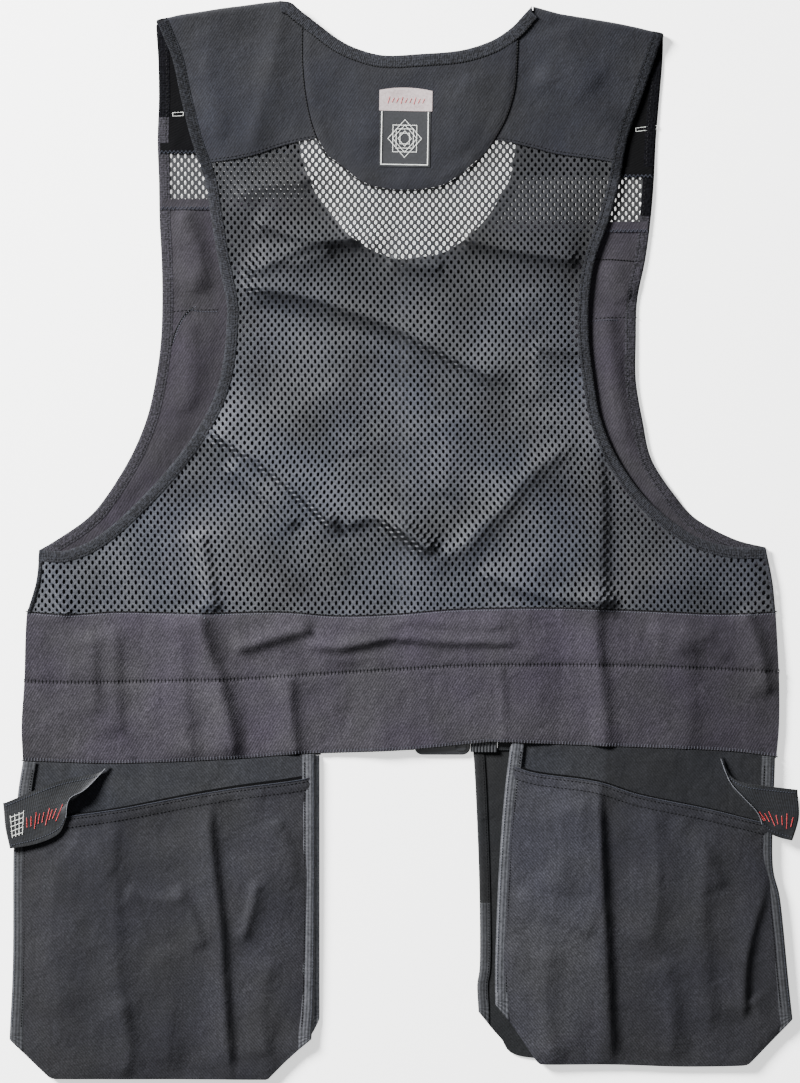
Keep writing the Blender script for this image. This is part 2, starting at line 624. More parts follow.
# How high the cloth lies
layers = {
    "frontMiddle": 0.9,       # middle of the front cloth's wall
    "backLevel": 1.9,         # the back layer lies on the front one
    "backMiddle": 1.0,        # middle of the back cloth's wall above that
    "netMiddle": 0.4,         # middle of the net's wall above that, to pass under the twill
    "moonMiddle": 1.9,        # middle of the half-moon's wall above that
    "clothHalf": 0.3,         # half of a twill wall
    "air": 0.7,               # how loosely the back lies on the front
    "foldGain": 1.85,
    "drift": 1.1, "driftSize": 58,
    "creep": 0.45, "creepSize": 21,
    "roll": 2.2, "rollReach": 16, "foldRoom": 2.6,
    # how far in the armhole tapes hold the cloth down, and what share stays free beside them
    "held": 0.35, "backHeld": (3, 24), "frontHeld": (4, 20),
    "frontLift": 0.5, "frontLiftSize": 40, "bare": (2, 16),
    # where each net rises into its tapes, and how far the front one lies lower
    "netRise": (6, 14), "frontRise": (5, 12), "frontSink": 0.45,
}
buckleHump = {"height": 3.3, "left": (-55, -12), "right": (92, 135), "top": (-92, -56)}

# The main creases: route, height, softness to its left, softness to its right
backFolds = [
    # across the net at the shoulder blades
    ([(-130, 192), (-76, 184), (-46, 175), (-15, 164), (14, 151), (44, 134), (74, 120), (88, 112)],
     3.7, 16, 6.5),
    ([(-124, 172), (-60, 158), (-12, 138), (40, 110)], -1.2, 9, 7),
    ([(-112, 240), (-83, 229), (-53, 224), (-28, 226)], 2.4, 9, 5.5),
    ([(-110, 218), (-83, 206), (-60, 213), (-50, 219)], 1.5, 5.5, 9),
    ([(-118, 196), (-96, 208), (-70, 220), (-40, 226), (-10, 218)], 2.0, 9, 5.5),
    ([(40, 228), (74, 219), (104, 214), (138, 208)], 2.6, 9, 5.5),
    ([(-125, 256), (-106, 264), (-76, 268), (-62, 276)], 1.5, 9, 5.5),
    ([(-8, 214), (8, 206), (32, 204)], 1.2, 6, 5.5),
    # below the armholes
    ([(-150, 88), (-126, 72), (-106, 60), (-83, 42), (-60, 22), (-42, 2)], 3.7, 14, 6.5),
    ([(-132, 58), (-112, 42), (-92, 24), (-78, 6)], 2.0, 8, 5.5),
    ([(-46, 8), (-22, 18), (0, 8), (26, -10)], 2.4, 9, 5.5),
    ([(-18, 24), (10, 4), (24, -10), (38, -12), (58, 8), (74, 22), (90, 44), (118, 66),
      (136, 76)], 3.0, 9, 12),
    ([(56, -20), (90, -36), (120, -44), (168, -46)], 2.2, 9, 5.5),
    ([(-152, 10), (-146, -20), (-140, -56)], 2.2, 5.5, 10),
    ([(147, 80), (149, 20), (148, -58)], 2.3, 5.5, 13),
    ([(-268, -12), (-258, -34), (-249, -60)], 1.5, 5.5, 6),
    ([(98, 146), (120, 142), (140, 140)], 1.2, 6, 6),
    ([(-60, 120), (-40, 92), (-34, 60)], 1.1, 9, 14),
    ([(30, 96), (36, 60), (30, 30)], 1, 14, 9),
    ([(88, 190), (100, 150), (104, 100)], 1, 10, 14),
    # on the waist
    ([(-152, -44), (-149, -66), (-143, -88), (-136, -104), (-133, -118), (-127, -146),
      (-124, -169)], 3.1, 6.5, 16),
    ([(-168, -50), (-164, -96), (-156, -170)], 1.1, 6, 13),
    ([(-84, -96), (-82, -130), (-78, -166)], 1.7, 3.5, 11),
    ([(-231, -66), (-230, -104), (-229, -134)], 1.0, 4, 12),
    ([(-213, -60), (-213, -104), (-212, -150)], 1.2, 4.5, 15),
    ([(-128, -82), (-110, -78), (-91, -72), (-64, -65)], 2.1, 9, 3.5),
    ([(-82, -77), (-66, -79), (-46, -80), (-30, -77), (-12, -73), (0, -72), (22, -75), (44, -76),
      (70, -76), (100, -80)], 2.4, 8, 3.2),
    ([(-70, -86), (-40, -90), (0, -86), (40, -84), (80, -86)], 0.9, 6, 3),
    ([(-56, -62), (-20, -66), (10, -60), (50, -64), (90, -62)], 0.9, 7, 3.5),
    ([(145, -38), (147, -80), (150, -104), (152, -125), (155, -178)], 1.8, 5, 12),
    ([(184, -66), (214, -74), (238, -71)], 0.9, 6, 4),
    ([(200, -82), (226, -80), (246, -90)], 0.8, 6, 4),
    ([(74, -86), (77, -120), (78, -166)], 1.6, 3.5, 10),
    ([(18, -94), (20, -130), (18, -166)], 1.1, 6, 12),
    ([(256, -48), (266, -74), (275, -118)], 1.8, 5, 9),
    ([(212, -54), (216, -100), (214, -166)], 1.0, 8, 14),
    # on the shoulders
    ([(-90, 402), (-93, 372), (-98, 350), (-106, 318), (-112, 286)], 1.0, 9, 8),
    ([(-150, 388), (-142, 350), (-134, 296)], 0.8, 14, 12),
    ([(98, 351), (130, 334), (149, 322), (170, 308)], 1.9, 9, 7),
    ([(120, 386), (128, 360), (150, 340)], 0.9, 12, 12),
    ([(-40, 352), (-20, 330), (-24, 292)], 0.6, 14, 14),
    ([(48, 350), (56, 320), (44, 290)], 0.7, 12, 14),
]
frontFolds = [
    ([(-169, 250), (-154, 226), (-147, 204), (-161, 182)], 2.6, 6, 13),
    ([(-172, 205), (-152, 196), (-140, 190)], 1.3, 8, 8),
    ([(-158, 170), (-156, 132), (-160, 90)], 2.2, 5, 10),
    ([(-150, 90), (-176, 52), (-205, 26)], 2.2, 8, 10),
    ([(148, 208), (160, 197), (173, 181)], 2.2, 5, 8),
    ([(152, 178), (158, 142), (163, 106), (166, 68)], 3.0, 5, 13),
    ([(158, 86), (180, 50), (205, 20)], 2.2, 10, 8),
]


def shoulderAt(x):
    return onLine(shoulder["left"] + shoulder["right"], x) - layers["foldRoom"]


def freedom(x, y, edge, reach):
    # how freely cloth lies near a taped edge, which holds it down
    return layers["held"] + (1 - layers["held"]) * ease(awayFrom(x, y, edge), *reach)


def backBase(x, y):
    # underside of the back layer: creases, the hump over the buckle and the shoulder roll
    x, y = np.asarray(x, float), np.asarray(y, float)
    hump = (buckleHump["height"] * ease(x, *buckleHump["left"])
            * (1 - ease(x, *buckleHump["right"])) * (1 - ease(y, *buckleHump["top"])))
    loose = (layers["air"] + layers["drift"] * ripple(x, y, layers["driftSize"], 3)
             + layers["creep"] * ripple(x, y, layers["creepSize"], 4)
             + layers["foldGain"] * foldField(x, y, backFolds))
    for side in sides:
        loose = loose * freedom(x, y, armholeBack[side], layers["backHeld"])
    below = shoulderAt(x) + layers["foldRoom"] - y
    roll = layers["roll"] * hill(np.maximum(below, 0), layers["rollReach"])
    return layers["backLevel"] + softMax(softMax(loose, hump), 0) + roll


def frontMiddle(x, y):
    # the front layer lifts only where an armhole leaves it bare
    x, y = np.asarray(x, float), np.asarray(y, float)
    lift = (foldField(x, y, frontFolds) + layers["frontLift"]
            + layers["frontLift"] * ripple(x, y, layers["frontLiftSize"], 8))
    bare = np.zeros(np.shape(x))
    for side, turn in sides.items():
        away, hand, _ = fromLine(x, y, armholeBack[side])
        bare = np.maximum(bare, np.where(hand * turn < 0, ease(away, *layers["bare"]), 0))
        if side == "left":      # the right front stands free beside its tape
            bare = bare * freedom(x, y, armholeFront[side], layers["frontHeld"])
    return layers["frontMiddle"] + np.maximum(lift, 0) * bare


def backMiddle(x, y):
    return backBase(x, y) + layers["backMiddle"]


def moonMiddle(x, y):
    return backBase(x, y) + layers["moonMiddle"]


def nearness(x, y, edges, reach):
    # 1 at some edges and 0 away from them
    near = np.zeros(np.shape(x))
    for edge in edges:
        near = np.maximum(near, 1 - ease(awayFrom(x, y, edge), *reach))
    return near


def netMiddle(x, y):
    # the net passes under the twill and rises into the armhole tapes
    rise = nearness(x, y, armholeBack.values(), layers["netRise"])
    lift = layers["backMiddle"] - layers["netMiddle"]
    return backBase(x, y) + layers["netMiddle"] + lift * rise


def netFront(x, y):
    # the front net passes under the twill and rises into its tapes
    rise = nearness(x, y, [*armholeFront.values(), *frontNeck.values()], layers["frontRise"])
    return frontMiddle(x, y) - layers["frontSink"] + layers["frontSink"] * rise


def addPiece(name, data, nodes=()):
    piece = link(bpy.data.objects.new(name, data))
    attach(piece, "root")
    if nodes:
        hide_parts(*nodes)
    return piece


def settle(name, data, nodes=(), sharp=48):
    # faces outwards, and smooth but for edges sharper than an angle in degrees
    work = bmesh.new()
    work.from_mesh(data)
    bmesh.ops.recalc_face_normals(work, faces=work.faces[:])
    work.to_mesh(data)
    work.free()
    data.shade_smooth()
    data.set_sharp_from_angle(angle=math.radians(sharp))
    return addPiece(name, data, nodes)


def makePiece(name, points, faces, material, nodes=(), strip=None):
    # strip holds a place on the strip, in millimetres, for each point
    data = bpy.data.meshes.new(name)
    data.from_pydata((np.asarray(points, float) * mm).tolist(), [],
                     [tuple(int(k) for k in face) for face in faces])
    data.materials.append(finish[material])
    if strip is not None:
        corners = np.zeros(len(data.loops), dtype=np.int32)
        data.loops.foreach_get("vertex_index", corners)
        chart = data.uv_layers.new(name="strip")
        chart.data.foreach_set("uv", np.asarray(strip, float)[corners].ravel())
    return settle(name, data, nodes)


def cut(piece):
    # the piece's flat cut in millimetres; the area is given where the cut isn't a rectangle
    return piece


def cutFlat(piece):
    return cut(piece)


def outlineOf(grid):
    return np.vstack([grid[0], grid[1:, -1], grid[-1, -2::-1], grid[-2:0:-1, 0]])[:, :2]


def shell(name, outer, inner, material, slot, nodes=(), strip=None):
    # a closed thin wall between two grids of points
    count = outer.shape[0] * outer.shape[1]
    index = np.arange(count).reshape(outer.shape[:2])
    top = np.stack([index[:-1, :-1], index[:-1, 1:], index[1:, 1:], index[1:, :-1]],
                   -1).reshape(-1, 4)
    rim = np.concatenate([index[0], index[1:, -1], index[-1, -2::-1], index[-2:0:-1, 0]])
    nextRim = np.roll(rim, -1)
    around = np.stack([rim, rim + count, nextRim + count, nextRim], -1)
    points = np.vstack([outer.reshape(-1, 3), inner.reshape(-1, 3)])
    if strip is not None:
        strip = np.vstack([strip.reshape(-1, 2)] * 2)
    return makePiece(name, points, np.vstack([top, top[:, ::-1] + count, around]), material,
                     nodes, strip)


def levelAt(middle, x, y):
    # a cloth's middle height, which is a rule, a grid or one height throughout
    return np.broadcast_to(middle(x, y) if callable(middle) else middle, np.shape(x))


def raised(grid, middle, half=layers["clothHalf"]):
    # outer and inner surfaces of cloth about its middle height
    level = levelAt(middle, grid[..., 0], grid[..., 1])
    return np.dstack([grid, level + half]), np.dstack([grid, level - half])


def ringBody(name, rings, material, nodes, strip):
    # a closed body from rings of points, one after another, capped at both ends
    count, around = rings.shape[:2]
    index = np.arange(count * around).reshape(count, around)
    turned = np.roll(index, -1, axis=1)
    skin = np.stack([index[:-1], turned[:-1], turned[1:], index[1:]], -1).reshape(-1, 4)
    faces = [tuple(face) for face in skin] + [tuple(index[0][::-1]), tuple(index[-1])]
    return makePiece(name, rings.reshape(-1, 3), faces, material, nodes,
                     strip.reshape(-1, 2))


# Geometry Nodes make the beads of thread, the zip's teeth and the holes in the net.
def startTree(name, sizes, material):
    # a tree whose inputs are a shape, some sizes and a material
    tree = bpy.data.node_groups.new(name, "GeometryNodeTree")
    given = [("Geometry", "Geometry"), *((size, "Float") for size in sizes),
             (material, "Material")]
    for label, kind in given:
        tree.interface.new_socket(label, in_out="INPUT", socket_type="NodeSocket" + kind)
    tree.interface.new_socket("Geometry", in_out="OUTPUT", socket_type="NodeSocketGeometry")
    return tree, addNode(tree, "NodeGroupInput").outputs


def endTree(tree, shape, material):
    real = addNode(tree, "GeometryNodeRealizeInstances", {"Geometry": shape})
    dressed = addNode(tree, "GeometryNodeSetMaterial", {"Geometry": real, "Material": material})
    addNode(tree, "NodeGroupOutput", {"Geometry": dressed})
    return tree


def runTree(name, data, tree, inputs):
    # the tree's result as a plain mesh
    carrier = link(bpy.data.objects.new(name + "Lines", data))
    modifier = carrier.modifiers.new("made", "NODES")
    modifier.node_group = tree
    for item in tree.interface.items_tree:
        if item.in_out == "INPUT" and item.name in inputs:
            modifier[item.identifier] = inputs[item.name]
    bpy.context.view_layer.update()
    ready = carrier.evaluated_get(bpy.context.evaluated_depsgraph_get())
    made = bpy.data.meshes.new_from_object(ready)
    made.name = name
    bpy.data.objects.remove(carrier, do_unlink=True)
    return made


# length and width of a stitch and the distance from one to the next, in mm
stitchKinds = {
    "lock": {"pitch": 2.9, "length": 2.3, "width": 0.7},
    "close": {"pitch": 2.0, "length": 1.6, "width": 0.6},
    "ditch": {"pitch": 2.2, "length": 2.6, "width": 1.15},
    "satin": {"pitch": 0.55, "length": 0.62, "width": 0.62},
    "frame": {"pitch": 0.6, "length": 0.8, "width": 0.95},
    "tick": {"pitch": 0.6, "length": 0.85, "width": 0.65},
    "fine": {"pitch": 0.5, "length": 0.6, "width": 0.42},
}


def makeBeadTree():
    tree, given = startTree("beadsAlongLines", ("Pitch", "Length", "Width"), "Thread")
    lines = addNode(tree, "GeometryNodeMeshToCurve", {"Mesh": given["Geometry"]})
    steps = addNode(tree, "GeometryNodeResampleCurve",
                    {"mode": "LENGTH", "Curve": lines, "Length": given["Pitch"]})
    turn = addNode(tree, "FunctionNodeAlignRotationToVector",
                   {"axis": "X", "Vector": addNode(tree, "GeometryNodeInputTangent")})
    bead = addNode(tree, "GeometryNodeMeshUVSphere", {"Segments": 6, "Rings": 4, "Radius": 0.5})
    size = addNode(tree, "ShaderNodeCombineXYZ",
                   {"X": given["Length"], "Y": given["Width"], "Z": given["Width"]})
    placed = addNode(tree, "GeometryNodeInstanceOnPoints",
                     {"Points": steps, "Instance": bead, "Rotation": turn, "Scale": size})
    return endTree(tree, placed, given["Thread"])


beadTree = makeBeadTree()
sewing = {}      # (thread, kind of stitch): lines of points with their heights


def makeBeads(name, lines, sizes, material):
    edges, start = [], 0
    for line in lines:
        edges += [(k, k + 1) for k in range(start, start + len(line) - 1)]
        start += len(line)
    data = bpy.data.meshes.new("lines")
    data.from_pydata((np.vstack(lines) * mm).tolist(), edges, [])
    made = runTree(name, data, beadTree,
                   {"Pitch": sizes["pitch"] * mm, "Length": sizes["length"] * mm,
                    "Width": sizes["width"] * mm, "Thread": finish[material]})
    made.shade_smooth()
    addPiece(name, made)
    say(f"{name}: {len(made.polygons)} faces")


def sew(thread, kind, line):
    sewing.setdefault((thread, kind), []).append(np.asarray(line, float))


def sewOn(thread, kind, line, middle, above):
    # a line of stitches on cloth, at a height above the cloth's middle
    level = levelAt(middle, line[:, 0], line[:, 1])
    sew(thread, kind, np.column_stack([line[:, :2], level + above]))


def sewTicks(line, size, pitch, thread, kind, middle, above):
    # short strokes across a line
    along = evenLine(line, round(lineLength(line) / pitch))
    across = sideways(along) * size / 2
    ends = np.stack([along - across, along + across], axis=1)
    for stroke in np.dstack([ends, middle(ends[..., 0], ends[..., 1]) + above]):
        sew(thread, kind, stroke)


def zigzag(line, width, thread, middle, above, pitch=1.5):
    # overcasting: short strokes back and forth across an edge
    count = max(4, round(lineLength(line) / pitch))
    along = evenLine(line, count)
    across = sideways(along) * (width / 2) * np.where(np.arange(count + 1) % 2, 1, -1)[:, None]
    sewOn(thread, "satin", along + across, middle, above)


# The net has one cell for each hole, and its sizes are in mm or shares of a cell.
net = {"across": 5.3, "down": 6.7, "holeWidth": 0.37, "holeHeight": 0.81, "waist": 0.17,
       "crowd": 6.0, "crowdReach": 8.0, "rimDrop": 0.05, "wall": 0.55, "waistLap": 8,
       "yokeLap": 9, "moonLap": 9, "stretch": 2.6, "stretchSize": 70, "stretchTop": (215, 245),
       "fixedRim": 9, "gather": 0.9, "steepest": 0.8}


def makeNetTree():
    tree, given = startTree("holesInCells", ("Hole Width", "Hole Height", "Rim Height",
                                             "Underside"), "Yarn")
    cells = addNode(tree, "GeometryNodeExtrudeMesh",
                    {"mode": "FACES", "Mesh": given["Geometry"], "Offset Scale": 0.0,
                     "Individual": True})
    inner = cells.outputs["Top"]
    shape = cells
    for axis, size in (((1, 0, 0), "Hole Width"), ((0, 1, 0), "Hole Height")):
        shape = addNode(tree, "GeometryNodeScaleElements",
                        {"domain": "FACE", "scale_mode": "SINGLE_AXIS", "Geometry": shape,
                         "Selection": inner, "Scale": given[size], "Axis": axis})
    drop = addNode(tree, "ShaderNodeCombineXYZ", {"Z": given["Rim Height"]})
    sunk = addNode(tree, "GeometryNodeSetPosition",
                   {"Geometry": shape, "Selection": inner, "Offset": drop})
    # a wall goes down from the outer edges, which have one face each
    down = addNode(tree, "ShaderNodeCombineXYZ", {"Z": given["Underside"]})
    faces = addNode(tree, "GeometryNodeInputMeshEdgeNeighbors")
    outer = addNode(tree, "FunctionNodeCompare", {"operation": "LESS_THAN", 0: faces, 1: 1.5})
    walled = addNode(tree, "GeometryNodeExtrudeMesh",
                     {"mode": "EDGES", "Mesh": sunk, "Selection": outer, "Offset": down})
    # the underside keeps each hole's rim, where the yarn is thin
    strands = addNode(tree, "FunctionNodeBooleanMath", {"operation": "NOT", 0: inner})
    under = addNode(tree, "GeometryNodeSetPosition",
                    {"Geometry": sunk, "Selection": strands, "Offset": down})
    both = addNode(tree, "GeometryNodeJoinGeometry")
    for half in (walled, under):
        tree.links.new(half.outputs[0], both.inputs["Geometry"])
    opened = addNode(tree, "GeometryNodeDeleteGeometry",
                     {"domain": "FACE", "Geometry": both, "Selection": inner})
    closed = addNode(tree, "GeometryNodeMergeByDistance",
                     {"Geometry": opened, "Distance": 0.002 * mm})
    return endTree(tree, closed, given["Yarn"])


netTree = makeNetTree()


def insideOutline(x, y, outline):
    # even-odd test of many points against a closed outline
    inside = np.zeros(np.shape(x), bool)
    p = np.asarray(outline, float)
    for (ax, ay), (bx, by) in zip(p, np.roll(p, -1, axis=0)):
        if ay == by:
            continue
        crosses = (ay > y) != (by > y)
        inside ^= crosses & (x < (bx - ax) * (y - ay) / (by - ay) + ax)
    return inside


def ontoOutline(points, outline):
    # each point moved to the nearest place on a closed outline
    best = np.full(len(points), 1e9)
    moved = points.copy()
    for a, b in zip(outline, np.roll(outline, -1, axis=0)):
        run = b - a
        t = np.clip((points - a) @ run / max(run @ run, 1e-9), 0, 1)
        place = a + t[:, None] * run
        away = np.linalg.norm(points - place, axis=1)
        near = away < best
        best[near], moved[near] = away[near], place[near]
    return moved


def netCells(outline, phase):
    # six-sided cells in offset rows; those on the outline are squeezed to fit inside it
    across, down = net["across"], net["down"]
    waist = down * net["waist"]
    reach = down / 2 - waist
    corners = np.array([(0, reach), (-across / 2, waist), (-across / 2, -waist), (0, -reach),
                        (across / 2, -waist), (across / 2, waist)])
    low, high = outline.min(axis=0), outline.max(axis=0)
    rows = np.arange(math.floor(low[1] / (down / 2)) - 1, math.ceil(high[1] / (down / 2)) + 1)
    cols = np.arange(math.floor(low[0] / across) - 1, math.ceil(high[0] / across) + 1)
    col, row = (a.ravel() for a in np.meshgrid(cols, rows))
    centre = np.column_stack([(col + (row % 2) / 2 + phase[0]) * across,
                              (row / 2 + phase[1]) * down])
    inside = insideOutline(centre[:, 0], centre[:, 1], outline)
    ring = (centre[inside, None, :] + corners[None]).reshape(-1, 2)
    # corners that meet are one point
    keys = np.round(ring * 20).astype(int)
    _, first, place = np.unique(keys, axis=0, return_index=True, return_inverse=True)
    flat = ring[first]
    out = ~insideOutline(flat[:, 0], flat[:, 1], outline)
    flat[out] = ontoOutline(flat[out], outline)
    return flat, place.reshape(-1, 6)


def makeNet(name, outline, middle, nodes, phase=(0, 0), holeWidth=net["holeWidth"], edging=()):
    # phase shifts the rows, as a share of a cell
    flat, cells = netCells(outline, phase)
    rim = awayFrom(flat[:, 0], flat[:, 1], np.vstack([outline[::3], outline[:1]]))
    free = ease(rim, 0, net["fixedRim"])[:, None]
    # where both nets show, they keep step with each other
    loose = net["stretch"] * (1 - ease(flat[:, 1], *net["stretchTop"]))
    shift = [loose * ripple(flat[:, 0], flat[:, 1], net["stretchSize"], seed)
             for seed in (11, 12)]
    flat = flat + free * np.column_stack(shift)
    above = np.maximum(flat[:, 1] - onLine(waistSeam, flat[:, 0]), 0)
    flat[:, 1] -= net["crowd"] * above / net["crowdReach"] * np.exp(-above / net["crowdReach"])
    # the rows bunch up on the crest of a crease and part at its foot
    slope = [(middle(flat[:, 0] + dx, flat[:, 1] + dy) - middle(flat[:, 0] - dx, flat[:, 1] - dy))
             / 2 for dx, dy in ((1, 0), (0, 1))]
    gather = np.clip(np.column_stack(slope), -net["steepest"], net["steepest"])
    flat = flat + free * net["gather"] * gather
    level = middle(flat[:, 0], flat[:, 1]) + net["wall"] / 2
    data = bpy.data.meshes.new(name + "Cells")
    data.from_pydata((np.column_stack([flat, level]) * mm).tolist(), [], cells.tolist())
    made = runTree(name, data, netTree,
                   {"Hole Width": holeWidth, "Hole Height": net["holeHeight"],
                    "Rim Height": -net["rimDrop"] * mm, "Underside": -net["wall"] * mm,
                    "Yarn": finish["netYarn"]})
    piece = settle(name, made, nodes, 40)
    triangles = sum(len(face.vertices) - 2 for face in made.polygons)
    say(f"{name}: {len(cells)} holes, {triangles} triangles")
    return cutFlat(piece)


# Tapes folded over an edge
binding = {"arm": 8.3, "neck": 8.6, "frontNeck": 8.0, "half": 0.62, "wall": 0.36,
           "panelIn": 2.0, "station": 3.6, "seamAt": 6.4, "seamHigh": 0.5, "turns": 7}


def tapeProfile(width, half, wall, crown=0.06):
    # across the folded tape: distance in from the edge, and height from its middle
    inside = half - wall
    return np.array([
        (width, half - 0.22), (width * 0.88, half - 0.06), (width * 0.74, half - 0.14),
        (width * 0.6, half + crown * 0.6), (width * 0.36, half + crown), (width * 0.16, half),
        (width * 0.05, half * 0.62), (0, 0), (width * 0.05, -half * 0.62),
        (width * 0.16, -half), (width * 0.6, -half), (width, -half + 0.12),
        (width, -inside), (width * 0.4, -inside), (width * 0.14, -inside * 0.8),
        (width * 0.09, 0), (width * 0.14, inside * 0.8), (width * 0.4, inside), (width, inside)])


def stripChart(profile, line):
    # where each point of a swept profile is on the strip
    return np.dstack(np.meshgrid(distances(profile), distances(line)))


def sweep(name, edge, inward, profile, middle, material, nodes=(), sheet=True):
    # a profile swept along an edge that lies in the cloth
    place = edge[:, None] + inward[:, None] * profile[None, :, :1]
    rings = np.dstack([place, levelAt(middle, place[..., 0], place[..., 1]) + profile[:, 1]])
    piece = ringBody(name, rings, material, nodes, stripChart(profile, edge))
    if not sheet:
        return piece
    return cut(piece)


def overShoulder(place, height, angle):
    # a point of something that goes over the shoulder fold; angle 0 is the back, pi the front
    x, y = place[..., 0], place[..., 1]
    if angle <= 0:
        return np.dstack([place, backMiddle(x, y) + height])
    if angle >= math.pi:
        return np.dstack([place, frontMiddle(x, y) - height])
    ridge = shoulderAt(x)
    high, low = backMiddle(x, ridge), frontMiddle(x, ridge)
    radius = (high - low) / 2 + height
    return np.dstack([x, ridge + radius * math.sin(angle),
                      (high + low) / 2 + radius * math.cos(angle)])


def shoulderTurns():
    # the angles between the back and the front
    return [math.pi * k / binding["turns"] for k in range(1, binding["turns"])]


def taped(points, way):
    # an edge that runs down from the shoulder, with the way inward at each point
    line = smoothLine(points, stepsFor(points, binding["station"]))
    inward = sideways(line) * way
    inward[0] = (way, 0)
    line[0, 1] = shoulderAt(line[0, 0])
    return line, inward


def tapeStitches(line, inward, middle):
    # the row near a tape's inner edge
    sewOn("darkThread", "lock", (line + inward * binding["seamAt"])[2:-2], middle,
          binding["seamHigh"])


tapeFades = ["binding", "yokeBinding", "fadedBinding", "newBinding"]
yokeFoot = {"left": 316, "right": 242, "back": 272}    # above these the tape is less faded


def bindArmhole(side):
    profile = tapeProfile(binding["arm"], binding["half"], binding["wall"])
    back, backIn = taped(armholeBack[side], sides[side])
    front, frontIn = taped(armholeFront[side], sides[side])
    over = np.column_stack([front[0, 0] + frontIn[0, 0] * profile[:, 0],
                            np.full(len(profile), front[0, 1])])[None]
    backRun, frontRun = (line[:, None] + inward[:, None] * profile[None, :, :1]
                         for line, inward in ((back[::-1], backIn[::-1]), (front, frontIn)))
    rings = np.concatenate([overShoulder(backRun, profile[:, 1], 0),
                            *(overShoulder(over, profile[:, 1], turn)
                              for turn in shoulderTurns()),
                            overShoulder(frontRun, profile[:, 1], math.pi)])
    piece = ringBody("armholeTape" + side.capitalize(), rings, tapeFades[0],
                     ["armhole_binding_" + side], stripChart(profile, rings[:, 0]))
    cut(piece)
    for fade in tapeFades[1:]:
        piece.data.materials.append(finish[fade])
    for face in piece.data.polygons:
        onBack = face.index < len(back) * len(profile)
        foot = yokeFoot["back" if onBack else side]
        face.material_index = (0 if onBack else 2) + int(face.center.y > foot * mm)
    tapeStitches(back, backIn, backMiddle)
    tapeStitches(front, frontIn, frontMiddle)


# The shoulders and the front, seen inside through the armholes
front = {"cell": 3.6, "netLap": 7, "zip": 10.0, "zipGap": 0.3, "zipLap": 1.6, "centre": 1.0,
         "zipTop": 211.0, "channel": -112.0, "channelEnd": {"left": -60.0, "right": 95.0},
         "holeWidth": 0.27, "covered": 12, "serge": 8.0, "sergeUp": 0.8, "sergeHigh": 0.62,
         "sergeHalf": 0.2, "waistSink": 0.6, "waistHalf": 0.28,
         # how the front net's holes stand to the back net's, as a share of a cell
         "netPhase": {"left": (0.5, 0.0), "right": (0.3, 0.1)}}
yokeUnder = {   # the yokes' inner edges, under the half-moon and short of the neck tape
    "left": [(-90, 401), (-82, 393), (-72, 384), (-64, 370), (-60, 340), (-50, 303)],
    "right": [(99, 398), (91, 385), (82, 376), (77, 360), (72, 335), (60, 300)],
}
frontSeamLines = {   # the pocket bag's seam, seen on the inside
    "left": [("darkThread", "lock", [(-176, 171), (-160, 172.5), (-138, 173)]),
             ("darkThread", "ditch", [(-157, 174), (-163, 168), (-169, 157), (-172, 147)]),
             ("slateThread", "close", [(-154, 175), (-160, 170.5), (-166, 161), (-170.5, 149)]),
             ("blueThread", "close", [(-158, 173), (-150, 171.5), (-138, 171.5)])],
    "right": [("darkThread", "lock", [(140, 166), (158, 167), (176, 167)]),
              ("blueThread", "close", [(142, 164), (150, 165), (162, 165)]),
              ("darkThread", "ditch", [(140, 210.5), (158, 210.5), (178, 209)])],
}
# a short frame of pale stitches on each front
paleFrame = {"left": ((-171, 320.5), (-163, 321)), "right": ((176, 309), (192, 311)),
             "depth": 2.6}


def levelSplit(line, y):
    # the part of a line that runs down, above and below a height
    k = int(np.argmin(abs(line[:, 1] - y)))
    return line[:k + 1], line[k:]


def acrossAt(line, y):
    # where a line that runs down passes a height
    p = np.array(line, float)
    return float(np.interp(-y, -p[:, 1], p[:, 0]))


def panelEdge(points, way):
    # a panel's edge, which is inside the tape along the same line
    line = smoothLine(points, 420)
    inner = line + sideways(line) * way * binding["panelIn"]
    inner[0, 1] = shoulderAt(inner[0, 0])
    return inner


def besideZip(side):
    return front["centre"] - sides[side] * (front["zip"] / 2 + front["zipGap"])


def gridBetween(arm, inner, side, seam=None):
    # a panel between an armhole edge and an inner edge, both running down
    rows = stepsFor(arm, front["cell"])
    cols = 2 + round(abs(inner[0, 0] - arm[0, 0]) / front["cell"])
    edges = [evenLine(line, rows)[::-1] for line in (arm, inner)]
    left, right = edges if side == "left" else edges[::-1]
    bottom = evenLine([left[0], right[0]], cols) if seam is None else pinLine(
        smoothLine(seam, cols), left[0], right[0])
    return fillEdges(bottom, evenLine([left[-1], right[-1]], cols), left, right)


